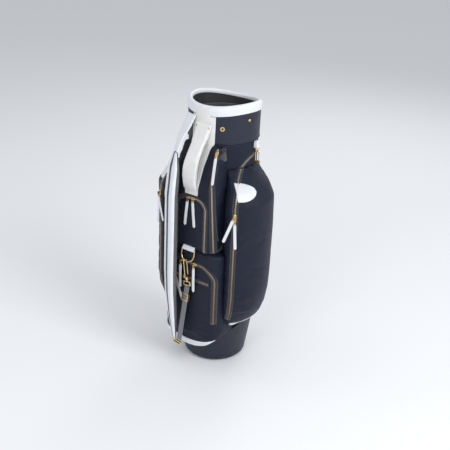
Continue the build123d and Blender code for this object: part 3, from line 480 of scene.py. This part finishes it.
def chain_on(side, line, step, rise):
    """Places along a line laid on the surface: point, normal, direction."""
    hits = [side.lay(p.x, p.y, rise) for p in evenly(line, step)]
    hits = [h for h in hits if h]
    chain = []
    for i, (point, normal) in enumerate(hits):
        along = (hits[min(i + 1, len(hits) - 1)][0] - hits[max(i - 1, 0)][0]).normalized()
        chain.append((point, normal, along))
    return chain


def placed(point, normal, along):
    """A matrix whose x runs along and whose z is the normal."""
    across = normal.cross(along).normalized()
    upward = along.cross(across).normalized()
    frame_matrix = Matrix((along, across, upward)).transposed().to_4x4()
    frame_matrix.translation = point
    return frame_matrix


def stitches(form, chain, long=3.0 * MM, wide=0.9 * MM, high=0.7 * MM):
    """A slim rounded stitch at each place of a chain."""
    for point, normal, along in chain:
        size = Matrix.Diagonal((long / 2, wide / 2, high / 2, 1))
        matrix = placed(point, normal, along) @ size
        bmesh.ops.create_icosphere(form, subdivisions=1, radius=1.0, matrix=matrix)


def stitch_piece(name, chains, body="bag", thread="thread"):
    form = bmesh.new()
    for chain in chains:
        stitches(form, chain)
    return add_piece(name, form, thread, body)


def wall_finish(piece, thick, offset=-1.0, round_by=0.0):
    modify(piece, "SOLIDIFY", thickness=thick, offset=offset, use_even_offset=False)
    if round_by:
        modify(piece, "BEVEL", width=round_by, segments=2, limit_method="ANGLE", angle_limit=0.7)


# ---------------------------------------------------------------- camera, lights, floor
def make_camera():
    """The viewpoint: front and right of the bag, looking down."""
    azimuth, yaw, pitch, roll = (math.radians(a) for a in (35.0, 0.451, 25.014, 2.721))
    away, height = 2.216, 1.494
    ahead = Vector((-math.sin(azimuth), math.cos(azimuth), 0))
    right = Vector((math.cos(azimuth), math.sin(azimuth), 0))
    ahead, right = (ahead * math.cos(yaw) + right * math.sin(yaw), right * math.cos(yaw) - ahead * math.sin(yaw))
    ahead, upward = (ahead * math.cos(pitch) - UP * math.sin(pitch), UP * math.cos(pitch) + ahead * math.sin(pitch))
    right, upward = (right * math.cos(roll) + upward * math.sin(roll), upward * math.cos(roll) - right * math.sin(roll))
    lens = bpy.data.cameras.new("camera")
    lens.sensor_width = 36.0
    lens.lens = 60.37
    camera = bpy.data.objects.new("camera", lens)
    bpy.context.collection.objects.link(camera)
    matrix = Matrix((right, upward, -ahead)).transposed().to_4x4()
    matrix.translation = (away * math.sin(azimuth), -away * math.cos(azimuth), height)
    camera.matrix_world = matrix
    bpy.context.scene.camera = camera


def soft_light(name, place, size, power, colour=(1, 1, 1), target=(0, 0, 0.45)):
    data = bpy.data.lights.new(name, "AREA")
    data.shape = "DISK"
    data.size = size
    data.energy = power
    data.color = colour
    light = bpy.data.objects.new(name, data)
    bpy.context.collection.objects.link(light)
    light.location = place
    light.rotation_euler = (Vector(target) - Vector(place)).to_track_quat("-Z", "Y").to_euler()


def make_stage():
    form = bmesh.new()
    bmesh.ops.create_grid(form, x_segments=1, y_segments=1, size=12)
    mesh = bpy.data.meshes.new("floor")
    form.to_mesh(mesh)
    form.free()
    floor = bpy.data.objects.new("floor", mesh)
    bpy.context.collection.objects.link(floor)
    paint = Paint("floor", roughness=0.9)
    paint.colour((0.90, 0.90, 0.91))
    floor.data.materials.append(paint.material)
    world = bpy.data.worlds.new("studio")
    world.use_nodes = True
    world.node_tree.nodes["Background"].inputs["Color"].default_value = (0.93, 0.96, 1.0, 1)
    world.node_tree.nodes["Background"].inputs["Strength"].default_value = 0.6
    bpy.context.scene.world = world
    bpy.context.scene.view_settings.view_transform = "Standard"
    soft_light("key", (2.6, -0.4, 2.2), 1.6, 52, (0.95, 0.98, 1.0))
    soft_light("front", (0.4, -3.0, 2.2), 1.6, 20)
    soft_light("left", (-2.4, -1.2, 1.6), 1.4, 7, (0.90, 0.93, 1.0))
    soft_light("back", (-0.6, 2.8, 2.4), 1.6, 18)


# ---------------------------------------------------------------- soft pockets
def near_shell(point):
    """1 on the bag's barrel, 0 some way out from it."""
    out = math.hypot(point.x, point.y) - SHELL_R
    return max(0.0, min(1.0, 1.0 - (out - 3 * MM) / (7 * MM)))


def near_lines(lines, flat, reach=11 * MM):
    """A test that is 1 close to (u, z) lines seen along one azimuth, falling to 0 at reach."""
    turn = math.radians(flat)
    across = Vector((math.cos(turn), math.sin(turn), 0))
    out = Vector((math.sin(turn), -math.cos(turn), 0))
    spots = [p for line in lines for p in evenly(line, 3 * MM)]
    tree = KDTree(len(spots))
    for i, spot in enumerate(spots):
        tree.insert(spot, i)
    tree.balance()

    def test(point):
        if point.dot(out) < 0:
            return 0.0
        gap = tree.find(Vector((point.dot(across), point.z, 0)))[2]
        return max(0.0, min(1.0, (reach - gap) / (0.6 * reach)))
    return test


def side_zip_line(sign=1):
    low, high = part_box("side_pocket_right")[0].z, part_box("side_pocket_right")[1].z
    lead = high - 96 * MM
    run = -20 * MM
    curve = smooth_line([(72 * MM, lead + 126 * MM), (38 * MM, lead + 109 * MM), (6 * MM, lead + 73 * MM),
                         (run + 9 * MM, lead + 36 * MM), (run, lead), (run, lead - 20 * MM)])
    line = [(p.x, p.y) for p in curve] + [(run, low + 36 * MM)]
    return [(sign * u, z) for u, z in line]


BALL_ZIP = inverted_u(93 * MM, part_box("ball_zip")[1].z - 3 * MM, 190 * MM, 52 * MM)
SMALL_Z = (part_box("small_zip")[0].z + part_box("small_zip")[1].z) / 2
SMALL_ZIP = [(-76 * MM, SMALL_Z), (76 * MM, SMALL_Z)]
POUCH_ZIP = inverted_u(54 * MM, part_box("pouch_zip")[1].z - 3 * MM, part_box("pouch_zip")[0].z, 34 * MM)
POUCH_BEND = 640 * MM
EDGE_ZIP = [(78 * MM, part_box("edge_zip")[0].z), (70 * MM, POUCH_BEND - 15 * MM), (69 * MM, POUCH_BEND + 8 * MM),
            (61 * MM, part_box("edge_zip")[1].z)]
SIDE_ZIP_TURN = 55.0


def make_pockets():
    """The four zip pockets, puffed out between their seams."""
    ball_lines = near_lines([BALL_ZIP, SMALL_ZIP], 0)
    pouch_lines = near_lines([POUCH_ZIP, EDGE_ZIP], 0)
    panel_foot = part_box("spine_panel")[0].z - 8 * MM
    side_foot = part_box("side_pocket_right")[0].z + 24 * MM

    def hold_ball(point):
        low = 1.0 if point.z < 128 * MM else 0.0
        return max(near_shell(point), ball_lines(point), low)

    def hold_pouch(point):
        under_panel = 1.0 if point.z > panel_foot and abs(point.x) < 46 * MM else 0.0
        return max(near_shell(point), pouch_lines(point), under_panel)

    pieces = []
    ball = swelled(copied("ball_pocket", "ball_pocket_fabric", "nylon"), 5 * MM, 4 * MM, hold_ball)
    pieces.append(finish_soft(ball, "ball_pocket"))
    pouch = swelled(copied("front_pouch", "front_pouch_fabric", "nylon"), 5 * MM, 4 * MM, hold_pouch)
    pieces.append(finish_soft(pouch, "front_pouch"))
    for sign, word in ((1, "right"), (-1, "left")):
        zip_test = near_lines([side_zip_line(sign)], sign * SIDE_ZIP_TURN)

        def hold_side(point, zip_test=zip_test):
            low = 1.0 if point.z < side_foot else 0.0
            return max(near_shell(point), zip_test(point), low)

        node = f"side_pocket_{word}"
        side = swelled(copied(node, f"{node}_fabric", "nylon"), 6 * MM, 6 * MM, hold_side)
        pieces.append(finish_soft(side, node))
    return pieces


def make_shell():
    """The body's nylon cover, with a lapped seam down the back and soft creases."""
    low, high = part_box("outer_shell")[0].z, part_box("outer_shell")[1].z
    form = bmesh.new()
    rows = 90
    verts = [form.verts.new((0, SHELL_R, low + (high - low) * k / rows)) for k in range(rows + 1)]
    edges = [form.edges.new(pair) for pair in zip(verts, verts[1:])]
    bmesh.ops.spin(form, geom=verts + edges, cent=(0, 0, 0), axis=(0, 0, 1), angle=2 * math.pi, steps=144,
                   use_merge=True)
    bmesh.ops.remove_doubles(form, verts=form.verts, dist=0.00001)
    bmesh.ops.recalc_face_normals(form, faces=form.faces)
    for vertex in form.verts:
        point = vertex.co.copy()
        turn = math.atan2(point.x, point.y)
        crease = noise.noise(Vector((turn * 3.0, point.z * 9, 2.0))) + 0.5 * noise.noise(point * 38)
        ends = min(1.0, (high - point.z) / (30 * MM), (point.z - low) / (30 * MM))
        lap = 0.9 * MM if abs(turn) < 0.06 else 0.0
        drawn = 1.2 * MM * crease * max(0.0, ends) - lap
        scale = (SHELL_R - 1.0 * MM - drawn * 0.7) / SHELL_R
        vertex.co.x *= scale
        vertex.co.y *= scale
    shell = add_piece("body_fabric", form, "nylon", "bag")
    wall_finish(shell, 2.4 * MM)
    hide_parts("outer_shell")
    return shell


def rim_height(y):
    """The rim's saddle: its top's height above the floor at depth y."""
    return RIM_TOP - 0.3 * MM - 0.0417 * y - 1.1766 * y * y


def make_rim():
    """The padded white binding: a roll over the ring, a stitched band outside and a tongue inside."""
    tongue = 97.5 * MM
    roll = (RIM_R - tongue) / 2
    middle = RIM_R - roll
    profile = [(RIM_R - 2.0 * MM, -29 * MM), (RIM_R - 0.6 * MM, -29 * MM), (RIM_R, -26 * MM), (RIM_R - 1.0 * MM, -21.5 * MM),
               (RIM_R, -17 * MM), (RIM_R + 0.5 * MM, -12 * MM)]
    for step in range(9):
        turn = math.pi * step / 8
        profile.append((middle + roll * math.cos(turn), -roll + roll * math.sin(turn)))
    profile += [(tongue, -11 * MM), (tongue + 0.8 * MM, -14 * MM), (101 * MM, -14 * MM), (101 * MM, -7.5 * MM), (107 * MM, -7.5 * MM),
                (108 * MM, -29 * MM)]
    form = bmesh.new()
    verts = [form.verts.new((0, r, z)) for r, z in profile]
    edges = [form.edges.new((a, b)) for a, b in zip(verts, verts[1:] + verts[:1])]
    bmesh.ops.spin(form, geom=verts + edges, cent=(0, 0, 0), axis=(0, 0, 1), angle=2 * math.pi, steps=180,
                   use_merge=True)
    bmesh.ops.remove_doubles(form, verts=form.verts, dist=0.00001)
    bmesh.ops.recalc_face_normals(form, faces=form.faces)
    for vertex in form.verts:
        radius = math.hypot(vertex.co.x, vertex.co.y)
        turn = math.atan2(vertex.co.x, vertex.co.y)
        outside = max(0.0, (radius - middle) / roll)
        pucker = 0.5 * MM * noise.noise(Vector((math.cos(turn) * 9, math.sin(turn) * 9, vertex.co.z * 60)))
        pucker += 0.25 * MM * math.sin(turn * 96) * max(0.0, 1 - abs(vertex.co.z + 21.5 * MM) / (9 * MM)) * outside
        scale = (radius + pucker) / radius
        height = rim_height(vertex.co.y)
        vertex.co.x *= scale
        vertex.co.y *= scale
        vertex.co.z += height
    rim = add_piece("rim_padding", form, "white_leather", "bag")
    modify(rim, "SUBSURF", levels=1, render_levels=1)
    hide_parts("rim_binding")
    return rim


def ring_chain(radius, height, pitch, azimuths=(0, 360)):
    """Places round the bag at a radius, with height(y) giving z."""
    first, last = (math.radians(a) for a in azimuths)
    count = round(radius * (last - first) / pitch)
    chain = []
    for step in range(count):
        turn = first + (last - first) * (step + 0.5) / count
        out = Vector((math.sin(turn), -math.cos(turn), 0))
        along = Vector((math.cos(turn), math.sin(turn), 0))
        point = out * radius
        point.z = height(point.y)
        chain.append((point, out, along))
    return chain


def soft_copy(node, name, paint, voxel, cap, pressure=4.0, held=None):
    """A soft CAD solid as a padded piece."""
    piece = swelled(copied(node, name, paint), voxel, cap, held or (lambda point: 0.0), pressure)
    return finish_soft(piece, node)


def make_handle():
    handle = soft_copy("carry_handle", "handle_padding", "cream_leather", 2.5 * MM, 2.0 * MM)
    anchor = soft_copy("strap_anchor", "anchor_leather", "white_leather", 2.0 * MM, 1.0 * MM)
    return [handle, anchor]


# ---------------------------------------------------------------- shoulder strap
STRAP_TURN = -30.0
STRAP_STEP = 6 * MM


def strap_sections(piece):
    """The strap's middle and half size, across and out, at even heights from its foot."""
    turn = math.radians(STRAP_TURN)
    across = Vector((math.cos(turn), math.sin(turn), 0))
    out = Vector((math.sin(turn), -math.cos(turn), 0))
    levels = {}
    for vertex in piece.data.vertices:
        spot = (vertex.co.dot(across), vertex.co.dot(out))
        levels.setdefault(math.floor(vertex.co.z / STRAP_STEP), []).append(spot)
    sections = []
    for level in range(min(levels), max(levels) + 1):
        if level not in levels:
            sections.append(sections[-1])
            continue
        u, w = zip(*levels[level])
        sections.append(((min(u) + max(u)) / 2, (max(u) - min(u)) / 2, (min(w) + max(w)) / 2, (max(w) - min(w)) / 2))
    return min(levels), sections


def section_at(first, sections, z):
    """The strap's section at height z."""
    place = min(max(z / STRAP_STEP - 0.5 - first, 0.0), len(sections) - 1.001)
    low = math.floor(place)
    share = place - low
    return tuple(p + (q - p) * share for p, q in zip(sections[low], sections[low + 1]))


def make_strap():
    """The padded shoulder strap: white edges, a navy centre, and spacer mesh round its sides and back."""
    turn = math.radians(STRAP_TURN)
    across = Vector((math.cos(turn), math.sin(turn), 0))
    out = Vector((math.sin(turn), -math.cos(turn), 0))
    strap = swelled(copied("strap_pad", "strap_padding", "strap"), 4 * MM, 2.5 * MM, lambda point: 0.0, 3.0)
    first, sections = strap_sections(strap)
    place = strap.data.attributes.new("across", "FLOAT", "POINT")
    face = strap.data.attributes.new("face", "FLOAT", "POINT")
    for i, vertex in enumerate(strap.data.vertices):
        middle, half, depth_middle, depth = section_at(first, sections, vertex.co.z)
        u = (vertex.co.dot(across) - middle) / half
        w = (vertex.co.dot(out) - depth_middle) / depth
        place.data[i].value = u
        face.data[i].value = 0.5 + (w - 0.15) * 2.0
    finish_soft(strap, "strap_pad")
    tree = tree_of([strap])
    side = Side(tree, -30)
    chains = []
    for share in (-0.86, -0.28, 0.30, 0.86):
        line = []
        for z in range(130, 716, 12):
            middle, half, _, _ = section_at(first, sections, z * MM)
            line.append((middle + share * half, z * MM))
        chains.append(chain_on(side, line, 5.2 * MM, 0.2 * MM))
    stitch_piece("strap_stitches", chains, "shoulder_strap")
    return strap


# ---------------------------------------------------------------- zips
def make_zip(name, side, line, node, white=False):
    """A zip laid on the fabric: tape on both sides, and two rows of teeth that mesh along the middle."""
    tape = ribbon(side, line, 7.5 * MM, (0.3 * MM, 0.8 * MM, 1.0 * MM, 0.5 * MM, 1.0 * MM, 0.8 * MM, 0.3 * MM))
    band = add_piece(f"{name}_tape", tape, "white_tape" if white else "tape", "bag")
    wall_finish(band, 0.9 * MM)
    form = bmesh.new()
    pitch = 1.7 * MM
    for i, (point, normal, along) in enumerate(chain_on(side, line, pitch, 1.1 * MM)):
        across = normal.cross(along).normalized()
        way = 1 if i % 2 else -1
        size = Matrix.Diagonal((0.62 * pitch, 3.1 * MM, 1.5 * MM, 1))
        matrix = placed(point + across * way * 0.8 * MM, normal, along) @ size
        made = bmesh.ops.create_cube(form, size=1.0, matrix=matrix)
        for vertex in made["verts"]:
            if (vertex.co - point).dot(across) * way < 0 and (vertex.co - point).dot(normal) > 0:
                vertex.co -= normal * 0.5 * MM
    teeth = add_piece(f"{name}_teeth", form, "teeth", "bag", smooth=False)
    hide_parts(node)
    return band, teeth


def make_zips(front, right, left):
    make_zip("ball_zip", front, BALL_ZIP, "ball_zip")
    make_zip("small_zip", front, SMALL_ZIP, "small_zip")
    make_zip("pouch_zip", front, POUCH_ZIP, "pouch_zip")
    make_zip("edge_zip", front, EDGE_ZIP, "edge_zip")
    make_zip("side_zip_right", right, side_zip_line(1), "side_zip_right")
    make_zip("side_zip_left", left, side_zip_line(-1), "side_zip_left")


# ---------------------------------------------------------------- leather laid on the fabric
def leather_on(name, side, line, half_width, rise, paint="white_leather", node=None, taper=False):
    """A leather strip laid along a line, crowned across its width, with pointed ends if it tapers."""
    spots = evenly(line, 4 * MM)
    form = bmesh.new()
    rows = []
    shares = (-1, -0.8, -0.4, 0, 0.4, 0.8, 1)
    for i, spot in enumerate(spots):
        along = (spots[min(i + 1, len(spots) - 1)] - spots[max(i - 1, 0)]).normalized()
        sideways = Vector((along.y, -along.x, 0))
        width = half_width
        if taper:
            place = 2 * i / (len(spots) - 1) - 1
            width = half_width * max(0.06, 1 - place * place) ** 0.8
        row = []
        for share in shares:
            place = spot + sideways * width * share
            crown = rise * (1 - 0.6 * share * share)
            hit = side.lay(place.x, place.y, crown)
            if hit is None:
                row = None
                break
            row.append(form.verts.new(hit[0]))
        if row:
            rows.append(row)
    for low, high in zip(rows, rows[1:]):
        for k in range(len(shares) - 1):
            form.faces.new((low[k], low[k + 1], high[k + 1], high[k]))
    bmesh.ops.recalc_face_normals(form, faces=form.faces)
    form.faces.ensure_lookup_table()
    if form.faces and form.faces[0].normal.dot(side.out) < 0:
        bmesh.ops.reverse_faces(form, faces=form.faces)
    piece = add_piece(name, form, paint, "bag")
    wall_finish(piece, rise + 0.8 * MM)
    if node:
        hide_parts(node)
    return piece


def half_oval(name, side, sign):
    """The half-oval leather patch on a side pocket, with a moulded ridge along it."""
    middle_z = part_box("side_pocket_right")[1].z - 58 * MM
    start = -13 * MM
    long, high = 62 * MM, 23 * MM
    form = bmesh.new()
    rows = []
    columns = 20
    for i in range(columns + 1):
        share = i / columns
        reach = high * math.sqrt(max(0.0, 1 - share * share))
        row = []
        for k in range(-8, 9):
            v = reach * k / 8
            ridge = 1.0 * MM * math.exp(-((v + 3 * MM) / (2.5 * MM)) ** 2) * min(1.0, (1 - share) * 3)
            crown = 1.6 * MM * (1 - 0.5 * (k / 8) ** 2) + ridge
            hit = side.lay(sign * (start + long * share), middle_z + v, crown)
            row.append(form.verts.new(hit[0]))
        rows.append(row)
    for low, upper in zip(rows, rows[1:]):
        for k in range(16):
            form.faces.new((low[k], low[k + 1], upper[k + 1], upper[k]))
    bmesh.ops.remove_doubles(form, verts=form.verts, dist=0.0002)
    bmesh.ops.recalc_face_normals(form, faces=form.faces)
    form.faces.ensure_lookup_table()
    if form.faces[0].normal.dot(side.out) < 0:
        bmesh.ops.reverse_faces(form, faces=form.faces)
    piece = add_piece(name, form, "white_leather", "bag")
    wall_finish(piece, 2.2 * MM)
    line = []
    for i in range(24):
        turn = math.radians(84 - 168 * i / 23)
        line.append((sign * (start + (long - 3.5 * MM) * math.cos(turn)), middle_z + (high - 3 * MM) * math.sin(turn)))
    stitch_piece(f"{name}_stitches", [chain_on(side, line, 4.6 * MM, 1.2 * MM)])
    return piece


def crescent_line():
    """The middle of the white crescent over the base, as (u, z)."""
    half, end, middle = 98 * MM, 128 * MM, 95 * MM
    return [(half * s, middle + (end - middle) * s * s) for s in [k / 12 for k in range(-12, 13)]]


def make_leather(front, right, left):
    patches = [half_oval("patch_right", right, 1), half_oval("patch_left", left, -1)]
    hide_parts("pocket_patches")
    crescent = leather_on("foot_crescent", front, crescent_line(), 11 * MM, 2.0 * MM, taper=True)
    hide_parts("foot_trim")
    hem_low, hem_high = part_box("side_pocket_right")[0].z + 8 * MM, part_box("side_pocket_right")[0].z + 14 * MM
    for side, sign, word in ((right, 1, "right"), (left, -1, "left")):
        line = [(sign * u * MM, hem_low + (hem_high - hem_low) * k / 8) for k, u in enumerate(range(-8, 73, 10))]
        leather_on(f"side_hem_{word}", side, line, 7 * MM, 2.0 * MM)


# ---------------------------------------------------------------- zip pulls
def make_pulls():
    """The leather pulls: a stitched strip with a soft bend, in a metal clip on the slider's bridge."""
    for joint in frame["joints"]:
        if not joint["name"].endswith("_pull_swing"):
            continue
        node = joint["child"]
        pin = Vector(joint["pos_m"])
        across = -Vector(joint["axis"]).normalized()
        points = [v.co.copy() for v in frame["nodes"][node].data.vertices]
        far = max((p - pin).length for p in points)
        tips = [p for p in points if (p - pin).length > far - 6 * MM]
        tip = sum(tips, Vector()) / len(tips)
        down = (tip - pin).normalized()
        sideways = across - down * across.dot(down)
        sideways.normalize()
        out = down.cross(sideways).normalized()
        if out.dot(Vector((pin.x, pin.y, 0))) < 0:
            out = -out
        long = (tip - pin).length
        body = body_of_node(node)
        form = bmesh.new()
        strip_half = 4.7 * MM
        rows = 22
        grid = []
        for i in range(rows + 1):
            share = i / rows
            reach = 8 * MM + (long - 8 * MM + 1 * MM) * share
            end = max(0.0, reach - (long - 4 * MM)) / (5 * MM)
            width = strip_half * math.sqrt(max(0.02, 1 - end * end))
            if share < 0.08:
                width = strip_half * 0.8
            bend = 0.9 * MM * math.sin(share * math.pi)
            row = []
            for k in (-1, -0.75, 0, 0.75, 1):
                crown = 0.5 * MM * (1 - k * k)
                row.append(form.verts.new(pin + down * reach + sideways * width * k + out * (bend + crown)))
            grid.append(row)
        for low, high in zip(grid, grid[1:]):
            for k in range(4):
                form.faces.new((low[k], low[k + 1], high[k + 1], high[k]))
        bmesh.ops.recalc_face_normals(form, faces=form.faces)
        form.faces.ensure_lookup_table()
        if form.faces[0].normal.dot(out) < 0:
            bmesh.ops.reverse_faces(form, faces=form.faces)
        strip = add_piece(f"{node}_leather", form, "pull_leather", body)
        modify(strip, "SOLIDIFY", thickness=2.0 * MM, offset=-1.0)
        modify(strip, "BEVEL", width=0.5 * MM, segments=2, limit_method="ANGLE", angle_limit=0.9)
        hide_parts(node)
        chains = []
        for sign in (-1, 1):
            chain = []
            count = 15
            for i in range(count):
                reach = 14 * MM + (long - 20 * MM) * i / (count - 1)
                bend = 0.9 * MM * math.sin((reach - 8 * MM) / (long - 7 * MM) * math.pi)
                chain.append((pin + down * reach + sideways * sign * 3.3 * MM + out * (bend + 0.35 * MM), out, down))
            chains.append(chain)
        stitch_piece(f"{node}_stitches", chains, body)
        clip = bmesh.new()
        turn = Matrix((down, sideways, out)).transposed().to_4x4()
        turn.translation = pin
        bmesh.ops.create_cone(clip, cap_ends=True, segments=16, radius1=1.2 * MM, radius2=1.2 * MM, depth=5.4 * MM,
                              matrix=turn @ Matrix.Rotation(math.pi / 2, 4, "X"))
        for sign in (-1, 1):
            size = Matrix.Diagonal((10.5 * MM, 1.1 * MM, 2.4 * MM, 1))
            bmesh.ops.create_cube(clip, size=1, matrix=turn @ Matrix.Translation((3.6 * MM, sign * 2.2 * MM, 0)) @ size)
        plate = Matrix.Diagonal((6 * MM, 6.6 * MM, 3.2 * MM, 1))
        bmesh.ops.create_cube(clip, size=1, matrix=turn @ Matrix.Translation((10.5 * MM, 0, -0.4 * MM)) @ plate)
        bmesh.ops.bevel(clip, geom=clip.edges[:], offset=0.35 * MM, segments=2, profile=0.5, affect="EDGES", material=-1)
        add_piece(f"{node}_clip", clip, "gold", body, smooth=False)


# ---------------------------------------------------------------- carried-over CAD pieces
CAD_PAINTS = {
    "navy_leather": ["cuff_cover", "base_cup"],
    "cream_leather": ["spine_panel"],
    "white_leather": ["towel_tab", "d_ring_tab"],
    "gold": ["d_ring", "snap_hook", "hook_gate", "swivel_eye", "buckle", "strap_ring", "towel_ring", "carabiner",
             "carabiner_gate", "eyelets", "rivets_and_studs", "badge_plate"],
    "web": ["adjuster_strap"],
    "plastic": ["barrel_tube", "collar_ring"],
    "rubber": ["base_sole"],
    "lining": ["divider_sheets"],
}


def dress_frame():
    """Materials and softened edges for the CAD pieces that stay."""
    for paint, nodes in CAD_PAINTS.items():
        for node in nodes:
            wear(frame["nodes"][node], paint)
    for node, piece in frame["nodes"].items():
        if "slider" in node:
            wear(piece, "gold")
            modify(piece, "WELD", merge_threshold=0.00001)
            modify(piece, "BEVEL", width=0.6 * MM, segments=3, limit_method="ANGLE", angle_limit=0.6)


def wear(piece, paint):
    for place in piece.material_slots:
        place.material = PAINTS[paint]


def make_divider():
    """The padded divider: fleece-covered bars and ring."""
    return soft_copy("divider_frame", "divider_padding", "lining", 3 * MM, 1.2 * MM)


def make_stitching(front):
    """Sewn rows on the rim and the cuff."""
    rim = ring_chain(RIM_R - 0.6 * MM, lambda y: rim_height(y) - 21.5 * MM, 4.6 * MM)
    stitch_piece("rim_stitches", [rim])
    cuff_r = SHELL_R + 2 * MM
    upper = ring_chain(cuff_r, lambda y: rim_height(y) - 33 * MM, 4.6 * MM)
    lower = ring_chain(cuff_r, lambda y: CUFF_SEAM + 6 * MM, 4.6 * MM)
    stitch_piece("cuff_stitches", [upper, lower], thread="navy_thread")


make_camera()
make_stage()
pockets = make_pockets()
shell = make_shell()
rim = make_rim()
handle, anchor = make_handle()
strap = make_strap()
divider = make_divider()
surface = tree_of([*pockets, shell, frame["nodes"]["cuff_cover"]])
front_side = Side(surface, 0)
right_side = Side(surface, SIDE_ZIP_TURN)
left_side = Side(surface, -SIDE_ZIP_TURN)
make_zips(front_side, right_side, left_side)
make_leather(front_side, right_side, left_side)
make_pulls()
dress_frame()
make_stitching(front_side)
